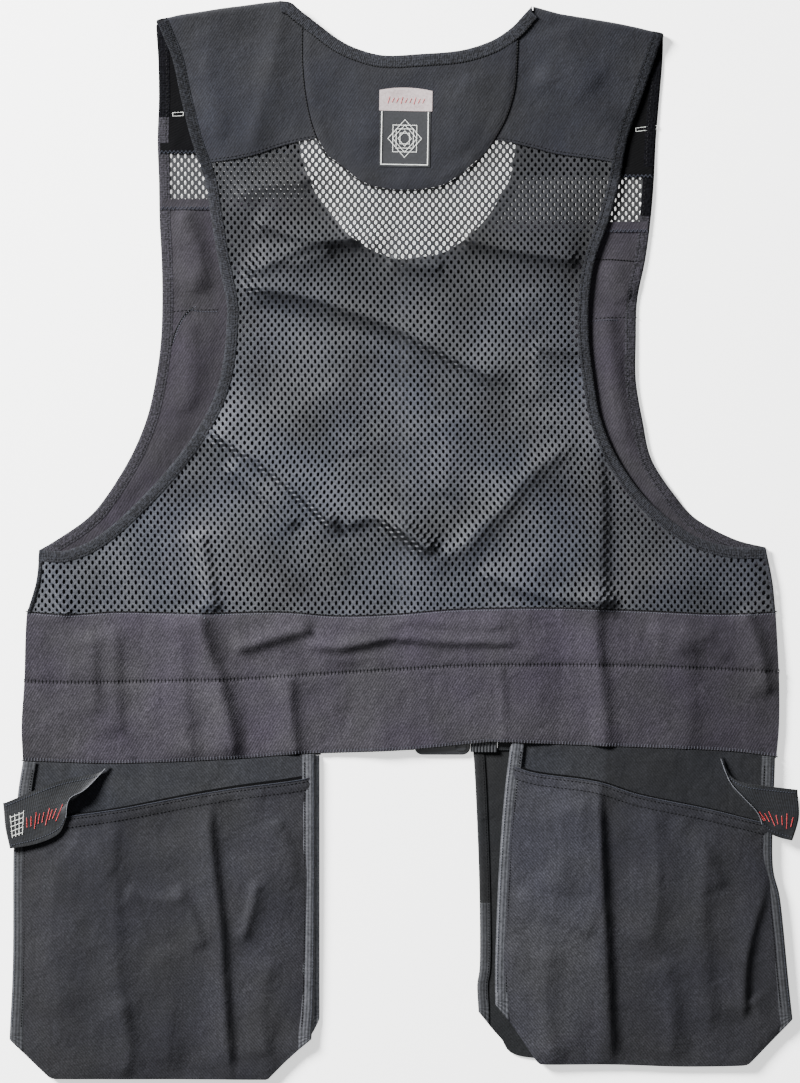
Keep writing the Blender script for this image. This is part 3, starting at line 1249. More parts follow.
def makeYoke(side):
    seam, way = yokeSeam[side], sides[side]
    arm, _ = levelSplit(panelEdge(armholeBack[side], way), seam[outerEnd[side]][1])
    back = gridBetween(arm, smoothLine(yokeUnder[side], 60), side, seam)
    back[-1, :, 1] = shoulderAt(back[-1, :, 0])
    frontArm, _ = levelSplit(panelEdge(armholeFront[side], way), frontSeams[side][0])
    frontInner, _ = levelSplit(panelEdge(frontNeck[side], -way), frontSeams[side][0])
    facing = gridBetween(frontArm, frontInner, side)
    columns, grid = (np.linspace(0, 1, part.shape[1]) for part in (back, facing))
    facing = np.dstack([[np.interp(columns, grid, row[:, k]) for row in facing] for k in (0, 1)])
    facing[-1, :, 1] = shoulderAt(facing[-1, :, 0])
    runs = [(back, 0), *((back[-1:], turn) for turn in shoulderTurns()),
            (facing[::-1], math.pi)]
    outer, under = (np.concatenate([overShoulder(rows, height, turn) for rows, turn in runs])
                    for height in (layers["clothHalf"], -layers["clothHalf"]))
    piece = shell("yoke" + side.capitalize(), outer, under, "yokeTwill", "yoke_twill",
                  ["yoke_" + side])
    piece.data.materials.append(finish["innerTwill"])
    for face in piece.data.polygons:
        face.material_index = int(face.center.z < layers["backLevel"] * mm)
    cut(piece)
    # the dark stitched ditch where the yoke meets the net, and the row above it
    edge = back[0][2:-2]
    sewOn("darkThread", "close", edge - (0, 0.4), backMiddle, 0.1)
    sewOn("darkThread", "lock", offsetLine(edge, 1.9), backMiddle, layers["clothHalf"])
    return back[0]


def makeFrontBody(side, arm, neck):
    # twill from below the net strip to the waist
    (_, armLow), (_, neckLow) = (levelSplit(line, frontSeams[side][1]) for line in (arm, neck))
    seam = np.array(sideSeam[side][:3], float)
    seam[0] = armLow[-1]
    centre = besideZip(side)
    neckLow = neckLow[(neckLow[:, 0] - centre) * sides[side] < 0]
    inner = np.vstack([neckLow, [(centre, neckLow[-1, 1] - 1.2),
                                 (centre, onLine(waistSeam, centre))]])
    body = gridBetween(joinLines(armLow, seam), inner, side)
    piece = shell("frontBody" + side.capitalize(), *raised(body, frontMiddle), "frontTwill",
                  "twill", ["front_body_" + side])
    # its inner side is less faded where the back covers it
    piece.data.materials.append(finish["innerTwill"])
    tops = [face for face in piece.data.polygons if face.normal.z > 0.3]
    x, y = (np.array([face.center[k] for face in tops]) / mm for k in (0, 1))
    away, hand, _ = fromLine(x, y, armholeBack[side])
    for face, covered in zip(tops, (hand * sides[side] > 0) & (away > front["covered"])):
        face.material_index = int(covered)
    return piece, outlineOf(body)


def makeFront(side):
    name, way = side.capitalize(), sides[side]
    high, low = frontSeams[side]
    arm, neck = panelEdge(armholeFront[side], way), panelEdge(frontNeck[side], -way)
    # the net strip, as an outline round both edges
    armRun, neckRun = (line[(line[:, 1] < high + front["netLap"])
                            & (line[:, 1] > low - front["netLap"])] for line in (arm, neck))
    makeNet("frontNet" + name, np.vstack([armRun, neckRun[::-1]]), netFront,
            ["front_mesh_" + side], front["netPhase"][side], front["holeWidth"])
    body, bodyOutline = makeFrontBody(side, arm, neck)
    # tape round the front neck, face down as the rest of the front
    edge, inward = taped(frontNeck[side], -way)
    sweep("frontNeckTape" + name, edge, inward,
          tapeProfile(binding["frontNeck"], binding["half"], binding["wall"]), frontMiddle,
          "binding", ["front_neck_binding_" + side])
    tapeStitches(edge, inward, frontMiddle)
    # overcast seam allowances above and below the net strip
    for place, y, material in (("High", high, "innerTwill"), ("Low", low, "frontTwill")):
        row = onceAcross(arm, neck, y + front["sergeUp"])
        fold = row - (0, front["serge"])
        strip = fillEdges(fold, row, *(evenLine([fold[k], row[k]], 3) for k in (0, -1)))
        level = frontMiddle(strip[..., 0], strip[..., 1]) + front["sergeHigh"]
        shell("frontSeam" + name + place,
                                *raised(strip, level, front["sergeHalf"]), material, "twill")
        zigzag(fold + (0, 1.2), 2.2, "blueThread", frontMiddle, 0.95)
    cutFlat(body)
    for thread, kind, points in frontSeamLines[side]:
        sewOn(thread, kind, smoothLine(points, 30), frontMiddle, layers["clothHalf"] + 0.03)
    (x0, y0), (x1, y1) = paleFrame[side]
    deep = paleFrame["depth"]
    box = [(x0, y0), (x1, y1), (x1, y1 - deep), (x0, y0 - deep), (x0, y0)]
    sewOn("whiteThread", "fine", evenLine(box, 30), frontMiddle, layers["clothHalf"] + 0.05)


def onceAcross(arm, inner, y):
    # a level line from an armhole edge to an inner edge, from left to right
    ends = sorted((acrossAt(line, y), y) for line in (arm, inner))
    return evenLine(ends, stepsFor(ends, 3.0))


def underBody(x, y):
    # the front waist's upper edge passes under the front body
    seam = onLine(waistSeam, x)
    return layers["frontMiddle"] - front["waistSink"] * ease(y, seam - 5, seam - 1)


def makeFrontWaist(side):
    # the front waist piece and the belt channel below it, both hidden by the back
    for part, node, reach, lowEdge, highEdge in (
            ("frontWaist", "front_waist_", besideZip(side), None, waistSeam),
            ("frontChannel", "front_hem_band_", front["channelEnd"][side], hemEdge, None)):
        lines = []
        for edge, lap in ((lowEdge, -1.2), (highEdge, 2.5)):
            y = front["channel"] if edge is None else edge[outerEnd[side]][1]
            across = np.linspace(*sorted([acrossAt(sideSeam[side], y), reach]), 60)
            level = np.full(60, y) if edge is None else onLine(edge, across) + lap
            lines.append(np.column_stack([across, level]))
        ends = [evenLine([lines[0][k], lines[1][k]], 14) for k in (0, -1)]
        grid = fillEdges(*lines, *ends)
        cutFlat(shell(part + side.capitalize(), *raised(grid, underBody, front["waistHalf"]),
                      "waistTwill", "twill", [node + side]))


seamEnds = {}
for side in sides:
    bindArmhole(side)
    seamEnds[side] = makeYoke(side)
    makeFront(side)
    makeFrontWaist(side)
say("shoulders and front")


# The back: net, waist and hem
back = {"cell": 2.3, "sideInset": 0.4, "armInset": 1.5, "dip": 0.45, "dipReach": 2.2,
        "pucker": 0.3, "puckerSize": 6.5, "puckerReach": 7, "puckerLong": 5, "gap": 0.1,
        "sideSeamWidth": 2.6}


def netOutline():
    edges = []
    for side, turn in sides.items():
        arm = smoothLine(armholeBack[side], 160)
        arm = arm + sideways(arm) * turn * back["armInset"]
        arm = arm[arm[:, 1] < seamEnds[side][outerEnd[side]][1] + net["yokeLap"]]
        seam = smoothLine(sideSeam[side][:3], 12) + (turn * back["sideInset"], 0)
        edges.append(np.vstack([arm, seam[seam[:, 1] > waistSeam[0][1]][1:]]))
    foot = offsetLine(waistFine, -net["waistLap"])
    foot = foot[(foot[:, 0] > edges[0][-1, 0]) & (foot[:, 0] < edges[1][-1, 0])]
    moon, top = halfMoon["foot"], []
    for x in np.linspace(edges[0][0, 0] + 2, edges[1][0, 0] - 2, 70):
        if moon[0][0] <= x <= moon[-1][0]:
            top.append((x, onLine(moon, x) + net["moonLap"]))
        else:
            top.append((x, onLine(yokeSeam["left" if x < 0 else "right"], x) + net["yokeLap"]))
    return np.vstack([np.array(top)[::-1], edges[0], foot, edges[1][::-1]])


def seamed(*lines):
    # back cloth drawn down and puckered along its seams
    def middle(x, y):
        level = backMiddle(x, y)
        for line in lines:
            away = awayFrom(x, y, line[::4])
            level = level - back["dip"] * hill(away, back["dipReach"])
            puckers = ripple(x, y / back["puckerLong"], back["puckerSize"], 5)
            level = level + back["pucker"] * hill(away, back["puckerReach"]) * puckers
        return level
    return middle


def makeBack():
    makeNet("backNet", netOutline(), netMiddle, ["back_mesh"], edging=makeSideSeams())
    gap = np.array([0, back["gap"]])
    for name, node, low, high, middle in (
            ("waistPanel", "back_waist_panel", stitchFine + gap, waistFine,
             seamed(stitchFine, waistFine)),
            ("hemBand", "back_hem_band", hemFine, stitchFine - gap,
             seamed(stitchFine, hemFine))):
        rows = round((high[:, 1] - low[:, 1]).mean() / back["cell"])
        ends = []
        for k, side in ((0, "left"), (-1, "right")):
            edge = smoothLine(sideSeam[side], 60)
            run = edge[(edge[:, 1] < high[k, 1] - 1) & (edge[:, 1] > low[k, 1] + 1)][::-1]
            ends.append(evenLine(np.vstack([low[k], run, high[k]]), rows))
        grid = fillEdges(low, high, *ends)
        cutFlat(shell(name, *raised(grid, middle), "waistTwill", "twill", [node]))
    on = seamed(stitchFine, hemFine)
    sewOn("darkThread", "ditch", waistFine + (0, 0.75), netMiddle, 0.3)
    sewOn("slateThread", "close", waistFine - (0, 0.9), seamed(waistFine), 0.3)
    sewTicks(stitchFine, 2.4, 2.7, "darkThread", "tick", on, 0.32)
    sewTicks(offsetLine(hemFine, 1.5), 1.5, 2.2, "slateThread", "satin", on, 0.35)
    sewOn("darkThread", "ditch", offsetLine(hemFine, 0.3), on, 0.1)


def makeSideSeams():
    # the net's narrow turned edges, from the waist to the underarms
    made = []
    for side, turn in sides.items():
        edge = smoothLine(sideSeam[side][:3], 16)
        inward = np.tile([turn, 0.0], (len(edge), 1))
        made.append(sweep("sideSeam" + side.capitalize(), edge, inward,
                          tapeProfile(back["sideSeamWidth"], 0.7, 0.3), backMiddle, "binding",
                          sheet=False))
    return made


makeBack()
say("net and waist")


# The neck: half-moon, tape and the bare label
neck = {"cell": 3.0, "tapeLift": 0.25, "under": 5, "drop": 0.25, "dropReach": 1.6,
        "ridge": 0.2, "ridgeIn": 5, "ridgeReach": 3, "pucker": 0.15, "puckerReach": 9,
        "puckerSize": 8}


def makeNeck():
    line = smoothLine(neckEdge, stepsFor(neckEdge, binding["station"]))
    line[:, 1] = np.minimum(line[:, 1], shoulderAt(line[:, 0]) + layers["foldRoom"])
    inward = -sideways(line)
    inward[0], inward[-1] = (0.15, -1), (-0.1, -1)      # nearly straight down at the shoulders

    def tapeMiddle(x, y):
        return moonMiddle(x, y) + neck["tapeLift"]

    sweep("neckTape", line, inward,
          tapeProfile(binding["neck"], binding["half"], binding["wall"]), tapeMiddle, "binding",
          ["neck_binding"])
    sewOn("darkThread", "ditch", (line + inward * (binding["neck"] + 0.4))[3:-3], moonMiddle,
          0.2)
    edge = line + inward * neck["under"]
    start, end = halfMoon["left"][0][0], halfMoon["right"][0][0]
    inside = edge[(edge[:, 0] > start + 2) & (edge[:, 0] < end - 2)]
    corners = [(x, float(onLine(edge, x))) for x in (start, end)]
    across = stepsFor(halfMoon["foot"], neck["cell"])
    top = evenLine(np.vstack([corners[:1], inside, corners[1:]]), across)
    foot = smoothLine(halfMoon["foot"], across)
    up = stepsFor(halfMoon["left"], neck["cell"])
    left, right = (smoothLine(halfMoon[side], up)[::-1] for side in ("left", "right"))
    moon = fillEdges(foot, top, pinLine(left, foot[0], top[0]), pinLine(right, foot[-1], top[-1]))
    rim = np.vstack([moon[::-1, 0], moon[0, 1:], moon[1:, -1]])

    def middle(x, y):
        away = awayFrom(x, y, rim[::3])
        return (moonMiddle(x, y) - neck["drop"] * hill(away, neck["dropReach"])
                + neck["ridge"] * hill(away, neck["ridgeReach"], neck["ridgeIn"])
                + neck["pucker"] * hill(away, neck["puckerReach"])
                * ripple(x, y, neck["puckerSize"], 15))

    cutFlat(shell("neckHalfMoon", *raised(moon, middle), "yokeTwill", "yoke_twill",
                  ["neck_patch"]))
    sewOn("darkThread", "ditch", offsetLine(rim, -0.75)[1:-1], moonMiddle, -0.3)


label = {"tab": (-16.5, 321.3, 23.0, 336.5), "patch": (-16.0, 279.5, 22.0, 321.0),
         "centre": (3.0, 308.0), "tilt": -1.0, "lift": 0.55, "half": 0.18, "crown": 2.2,
         "crownHalf": 20, "frameIn": 1.6, "frameTop": 0.5, "rosette": ((3.0, 300.6), 12.6),
         "dashes": ((-9.5, 329.3), (16.5, 328.9), 9)}


def labelPoint(x, y):
    # the label lies slightly turned
    turn = math.radians(label["tilt"])
    cx, cy = label["centre"]
    return (cx + (x - cx) * math.cos(turn) - (y - cy) * math.sin(turn),
            cy + (x - cx) * math.sin(turn) + (y - cy) * math.cos(turn))


def labelMiddle(x, y):
    return moonMiddle(x, y) + label["lift"]


def makeLabel():
    for name, node, box, material, slot, crown in (
            ("labelTab", "label_tab", label["tab"], "whiteLabel", "label_white",
             label["crown"]),
            ("labelPatch", "label_patch", label["patch"], "darkLabel", "label_dark", 0)):
        x, y = np.meshgrid(np.linspace(box[0], box[2], 22), np.linspace(box[1], box[3], 16))
        share = (y - box[1]) / (box[3] - box[1])
        y = y + crown * share * (1 - ((x - label["centre"][0]) / label["crownHalf"]) ** 2)
        strip = np.dstack([x - box[0], y - box[1]])
        grid = np.dstack(labelPoint(x, y))
        piece = shell(name, *raised(grid, labelMiddle, label["half"]), material, slot, [node],
                      strip)
        cut(piece)
    left, low, right, high = label["patch"]
    left, low, right = (left + label["frameIn"], low + label["frameIn"],
                        right - label["frameIn"])
    corners = [(left, high - label["frameTop"]), (left, low), (right, low),
               (right, high - label["frameTop"])]
    rows = [("whiteThread", "frame", run) for run in zip(corners, corners[1:])]
    rows += [("whiteThread", "satin", run) for run in rosette(*label["rosette"])]
    rows += [("redThread", "satin", run) for run in dashes(*label["dashes"])]
    for thread, kind, run in rows:
        points = np.array([labelPoint(*p) for p in evenLine(run, 12)])
        sewOn(thread, kind, points, labelMiddle, label["half"] + 0.05)


def rosette(centre, radius):
    # a plain compass rosette of nested diamonds
    runs = []
    for size in (1.0, 0.72, 0.4):
        for turn in (0, 45):
            angles = [math.radians(turn + 90 * k) for k in range(5)]
            ring = [(centre[0] + size * radius * math.cos(angle),
                     centre[1] + size * radius * 1.12 * math.sin(angle)) for angle in angles]
            runs += list(zip(ring, ring[1:]))
    return runs


def dashes(start, end, count):
    # slanted dashes, every third one taller
    runs = []
    for k, (x, y) in enumerate(evenLine([start, end], count - 1)):
        tall = 1.5 if k % 3 else 2.4
        runs.append([(x - 0.7, y - tall), (x + 0.7, y + tall)])
    return runs


makeNeck()
makeLabel()
say("neck and label")


# Tool pockets
pocket = {"cell": 2.6, "frontCell": 3.6, "edgeIn": 2.2, "backing": 3.75, "backingDrift": 0.25,
          "level": 4.5, "wall": 0.8, "bulge": 3.2, "foldGain": 2.3, "looseness": 0.4,
          # height, size and seed of its soft hills
          "drift": ((1.1, 46, 22), (0.5, 17, 23)),
          # the mouth's hem is thicker by this much, from the first distance in to the second
          "hem": 0.3, "hemUnder": (9.5, 8.0), "hemOver": (9.5, 8.5), "mouthLift": 1.5,
          "mouthReach": 12, "pucker": 0.25, "puckerSize": 6.5,
          # where the rows of stitches draw the hem in, and by how much and how wide
          "rows": ((2.2, 0.25, 0.9), (8.4, 0.45, 1.6)), "footDrop": 0.5, "footReach": 2.5,
          "gape": {"left": (0.6, 2.4), "right": (1.6, 0.8)},
          "tape": 10.0, "tapeMiddle": 4.5, "tapeHalf": 1.4, "tapeWall": 0.7}
frontPocket = {"level": 1.1, "drift": 0.15, "half": 0.6, "tape": 8.0, "tapeMiddle": 1.35,
               "tapeHalf": 1.3, "tapeWall": 0.45, "seamAt": 6.6, "seamHigh": 2.62,
               # on the right it is bare cloth down to the tape's start
               "tapeStart": {"left": 0, "right": -272}}
pocketFolds = {
    "left": [
        ([(-143, -190), (-143, -212), (-140, -245), (-135, -285), (-133, -322), (-131, -355),
          (-127, -408)], 1.7, 2.8, 18),
        ([(-107, -252), (-112, -275), (-119, -300)], 1.1, 5, 2.2),
        ([(-168, -256), (-160, -268), (-152, -290), (-146, -306)], 0.9, 2.4, 8),
        ([(-206, -259), (-192, -266), (-172, -268), (-160, -266)], 0.9, 3, 7),
        ([(-93, -206), (-82, -234), (-77, -256)], 0.9, 3, 9),
        ([(-215, -200), (-214, -260), (-212, -320), (-206, -376)], 0.9, 6, 18),
        ([(-207, -340), (-203, -374), (-206, -402)], 0.9, 5, 10),
        ([(-256, -230), (-262, -290), (-252, -360)], 0.9, 16, 18),
        ([(-180, -300), (-172, -340), (-176, -396)], 0.8, 10, 14),
        ([(-96, -310), (-104, -350), (-100, -390)], 0.8, 6, 14),
        ([(-250, -226), (-232, -236), (-214, -250)], 0.6, 7, 9),
    ],
    "right": [
        ([(147, -176), (149.5, -240), (152, -285), (154, -328), (157, -398)], 1.9, 3, 26),
        ([(281, -235), (272, -262), (265, -284), (260, -303), (257, -322), (256, -362)],
         1.7, 2.6, 12),
        ([(84, -262), (100, -274), (122, -284), (148, -292)], 0.9, 12, 5),
        ([(262, -340), (274, -358), (286, -368)], 0.9, 6, 7),
        ([(188, -196), (192, -260), (186, -310)], 0.9, 8, 14),
        ([(228, -216), (226, -290), (232, -370)], 0.9, 8, 16),
        ([(112, -300), (108, -340), (116, -392)], 0.8, 8, 15),
        ([(196, -310), (204, -350), (200, -392)], 0.8, 8, 14),
        ([(118, -195), (122, -235), (116, -266)], 0.7, 15, 12),
        ([(94, -190), (120, -196), (142, -200)], 0.6, 6, 5),
        ([(206, -206), (226, -230), (240, -262)], 0.7, 6, 10),
    ],
}


def hemBelow(x):
    return onLine(hemFine, x) - 0.3


def beltBelow(x):
    # the front pockets' top, under the hem, or under the belt where that hangs below the hem
    atBelt = (np.asarray(x) > 0) & (np.asarray(x) < belt["to"])
    return np.where(atBelt, belt["pocketTop"], hemBelow(x) - 1.2)


def pocketSide(outline, end, ceiling):
    # a pocket's side from the hem down to its foot, and the way inward
    line = np.array(outline[end], float)
    line[0, 1] = ceiling(line[0, 0])
    fine = smoothLine(line, stepsFor(line, 3.4))
    return fine, np.tile([1.0 if end == "left" else -1.0, 0.0], (len(fine), 1))


def pocketPanel(outline, ceiling, cell):
    # cloth that ends a little inside the tapes' outer edges, from the foot to the hem
    sideEdges = []
    for end in ("left", "right"):
        line, inward = pocketSide(outline, end, ceiling)
        line = line + inward * pocket["edgeIn"]
        foot = np.array([line[-1, 0], onLine(outline["foot"], line[-1, 0])])
        line = np.vstack([line[line[:, 1] > foot[1] + 0.5], foot])
        line[0, 1] = ceiling(line[0, 0])
        sideEdges.append(line[::-1])
    left, right = sideEdges
    across, rows = stepsFor(outline["foot"], cell), stepsFor(left, cell)
    foot = smoothLine(outline["foot"], 300)
    foot = foot[(foot[:, 0] > left[0, 0]) & (foot[:, 0] < right[0, 0])]
    foot = evenLine(np.vstack([left[0], foot, right[0]]), across)
    edges = [evenLine(line, rows) for line in (left, right)]
    top = evenLine([edges[0][-1], edges[1][-1]], across)
    top[:, 1] = ceiling(top[:, 0])
    return fillEdges(foot, top, *edges), sideEdges, foot


def sideTape(name, outline, end, ceiling, sizes, node, material):
    line, inward = pocketSide(outline, end, ceiling)
    profile = tapeProfile(sizes["tape"], sizes["tapeHalf"], sizes["tapeWall"], 0.2)
    place = line[:, None] + inward[:, None] * profile[None, :, :1]
    # the tape's two ends follow the hem and the foot
    floor = onLine(outline["foot"], place[-1, :, 0])
    place[..., 1] = np.maximum(place[..., 1], floor[None])
    place[-1, :, 1] = floor
    place[0, :, 1] = ceiling(place[0, :, 0])
    height = np.broadcast_to(sizes["tapeMiddle"] + profile[:, 1], place.shape[:2])
    piece = ringBody(name, np.dstack([place, height]), material, [node],
                     stripChart(profile, line))
    cut(piece)
    return piece, line, inward


def sewLevel(thread, kind, line, height):
    sew(thread, kind, np.column_stack([line, np.full(len(line), height)]))


def pocketCloth(side, foot, edges, rows):
    # the outer cloth's plan, its underside's height and its wall, and the edge of its mouth
    mouth = smoothLine(mouthEdge[side], len(foot) - 1)
    runs = []
    for line, corner in zip(edges, (0, -1)):
        y = mouth[corner, 1]
        below = line[line[:, 1] < y - 1]
        runs.append(evenLine(np.vstack([below, [(np.interp(y, line[:, 1], line[:, 0]), y)]]),
                             rows))
    mouth = pinLine(mouth, runs[0][-1], runs[1][-1])
    cloth = fillEdges(foot, mouth, *runs)
    x, y = cloth[..., 0], cloth[..., 1]
    u = np.linspace(0, 1, cloth.shape[1])[None, :]
    v = np.linspace(0, 1, cloth.shape[0])[:, None]
    fromMouth, fromFoot = (awayFrom(x, y, line[::3]) for line in (mouth, foot))
    # fullest in the middle, flat along the tapes and the foot
    full = (1 - (2 * u - 1) ** 4) * (1 - (1 - v) ** 3) * (1 - 0.75 * v ** 5)
    inside = np.minimum(1, 6 * u * (1 - u)) ** 0.8
    creases = pocket["foldGain"] * foldField(x, y, pocketFolds[side])
    for height, size, seed in pocket["drift"]:
        creases = creases + height * ripple(x, y, size, seed)
    level = (pocket["level"] + pocket["bulge"] * full
             + (creases + pocket["looseness"]) * inside)
    atMouth = hill(fromMouth, pocket["mouthReach"])
    level = level + pocket["mouthLift"] * atMouth * np.sin(math.pi * u) ** 0.5
    for away, deep, wide in pocket["rows"]:
        level = level - deep * hill(fromMouth, wide, away)
    level = (level + pocket["hem"] * ease(fromMouth, *pocket["hemUnder"])
             + pocket["pucker"] * atMouth * ripple(x, y, pocket["puckerSize"], 24)
             - pocket["footDrop"] * hill(fromFoot, pocket["footReach"]))
    wall = pocket["wall"] + pocket["hem"] * ease(fromMouth, *pocket["hemOver"])
    return cloth, np.maximum(level, pocket["level"]), wall, mouth


def makePocket(side):
    outline, name = pocketEdge[side], side.capitalize()
    backing, edges, foot = pocketPanel(outline, hemBelow, pocket["cell"])

    def backingMiddle(x, y):
        return pocket["backing"] + pocket["backingDrift"] * ripple(x, y, 30, 21)

    # the backing, from the hem down, is seen above the mouth
    cutFlat(shell("holsterBacking" + name, *raised(backing, backingMiddle), "backingTwill",
                  "pocket_twill", ["holster_backing_" + side]))
    cloth, level, wall, mouth = pocketCloth(side, foot, edges, len(backing) - 1)
    cutFlat(shell("holsterCloth" + name, np.dstack([cloth, level + wall]),
                  np.dstack([cloth, level]), "pocketTwill", "pocket_twill",
                  ["holster_cloth_" + side]))
    flatX, flatY, flatZ = (part.ravel() for part in (cloth[..., 0], cloth[..., 1], level + wall))

    def surface(line):
        # heights read from the cloth's own surface
        gap = np.hypot(line[:, None, 0] - flatX[None], line[:, None, 1] - flatY[None])
        near = np.argsort(gap, axis=1)[:, :4]
        weight = 1 / (np.take_along_axis(gap, near, 1) + 0.3)
        return np.sum(flatZ[near] * weight, axis=1) / weight.sum(axis=1)

    # the mouth gapes a little and shows its dark inner side, most at the inner end
    gape = np.linspace(*pocket["gape"][side], len(mouth))[:, None]
    lip = np.stack([mouth + sideways(mouth) * away for away in (-4, -1.5, gape)])
    shell("mouthLip" + name, *raised(lip, surface(mouth) - wall.max() - 0.15, 0.1),
          "innerTwill", "pocket_twill")
    for away, thread, kind in ((0.4, "blueThread", "satin"), (2.4, "darkThread", "lock"),
                               (8.4, "darkThread", "lock")):
        row = offsetLine(mouth, -away)[2:-2]
        sew(thread, kind, np.column_stack([row, surface(row) + 0.02]))
    for end in ("left", "right"):
        place, material = ("outer", "pocketTape") if end == side else ("inner", "wornTape")
        _, line, inward = sideTape(f"holsterTape{name}{place.capitalize()}", outline, end,
                                   hemBelow, pocket, f"holster_binding_{side}_{place}", material)
        for away, thread in ((1.6, "blueThread"), (8.3, "darkThread")):
            sewLevel(thread, "close", (line + inward * away)[2:-3],
                     pocket["tapeMiddle"] + pocket["tapeHalf"] + 0.08)


def makeFrontPocket(side):
    # the front pockets lie under the rear ones, with one edge and its tape in sight
    outline, name = frontPocketEdge[side], side.capitalize()
    grid, _, _ = pocketPanel(outline, beltBelow, pocket["frontCell"])

    def middle(x, y):
        return frontPocket["level"] + frontPocket["drift"] * ripple(x, y, 26, 25)

    cutFlat(shell("frontHolster" + name, *raised(grid, middle, frontPocket["half"]),
                  "shadedTwill", "pocket_twill", ["front_holster_" + side]))
    end, material = ("right", "paleTape") if side == "left" else ("left", "pocketTape")
    piece, line, inward = sideTape("frontHolsterTape" + name, outline, end, beltBelow,
                                   frontPocket, "front_holster_binding_" + side, material)
    piece.data.materials.append(finish["shadedTwill"])
    for face in piece.data.polygons:
        face.material_index = int(face.center.y > frontPocket["tapeStart"][side] * mm)
    sewLevel("darkThread", "close", (line + inward * frontPocket["seamAt"])[2:-3],
             frontPocket["seamHigh"])


# Hammer loops
loopStrap = {"level": 6.5, "wall": 1.2, "space": 0.5, "root": 4.5, "rise": (8, 34),
             "cell": 2.2, "curl": 2.4, "curlReach": 7, "turns": 7, "drift": 0.5,
             "driftSize": 12, "driftRise": (6, 20), "width": 34, "rowHigh": 0.12}
loopEdge = {
    "left": {"inner": [(-250, -208), (-247, -192), (-235, -185), (-219, -168.5)],
             "outer": [(-291, -230), (-294, -215), (-296, -196)],
             "bottom": [(-250, -208), (-256, -219), (-271, -226), (-291, -230)],
             "top": [(-219, -168.5), (-227, -174), (-256, -180), (-296, -196)]},
    "right": {"inner": [(270, -214), (266, -203), (254, -190), (245, -179), (238, -160)],
              "outer": [(291, -224), (296, -207), (295, -186)],
              "bottom": [(270, -214), (276, -219), (283, -222), (291, -224)],
              "top": [(238, -160), (241, -170), (248, -177.5), (258, -181.5), (277, -184),
                      (295, -186)]},
}
# rows of plain red dashes and a pale woven lattice: how far along and across the strap
loopMarks = {
    "left": [(v, 0.36 + 0.12 * (v - 0.3), 0.2 if k % 3 else 0.32)
             for k, v in enumerate(np.linspace(0.3, 0.74, 9))],
    "right": [(v, 0.36, 0.18 if k % 3 else 0.3) for k, v in enumerate(np.linspace(0.3, 0.92, 8))],
}
loopMotif = {
    "left": [[(0.80, 0.25 + 0.1 * k), (0.95, 0.25 + 0.1 * k)] for k in range(5)]
            + [[(0.80 + 0.05 * k, 0.22), (0.80 + 0.05 * k, 0.68)] for k in range(4)],
    "right": [],
}


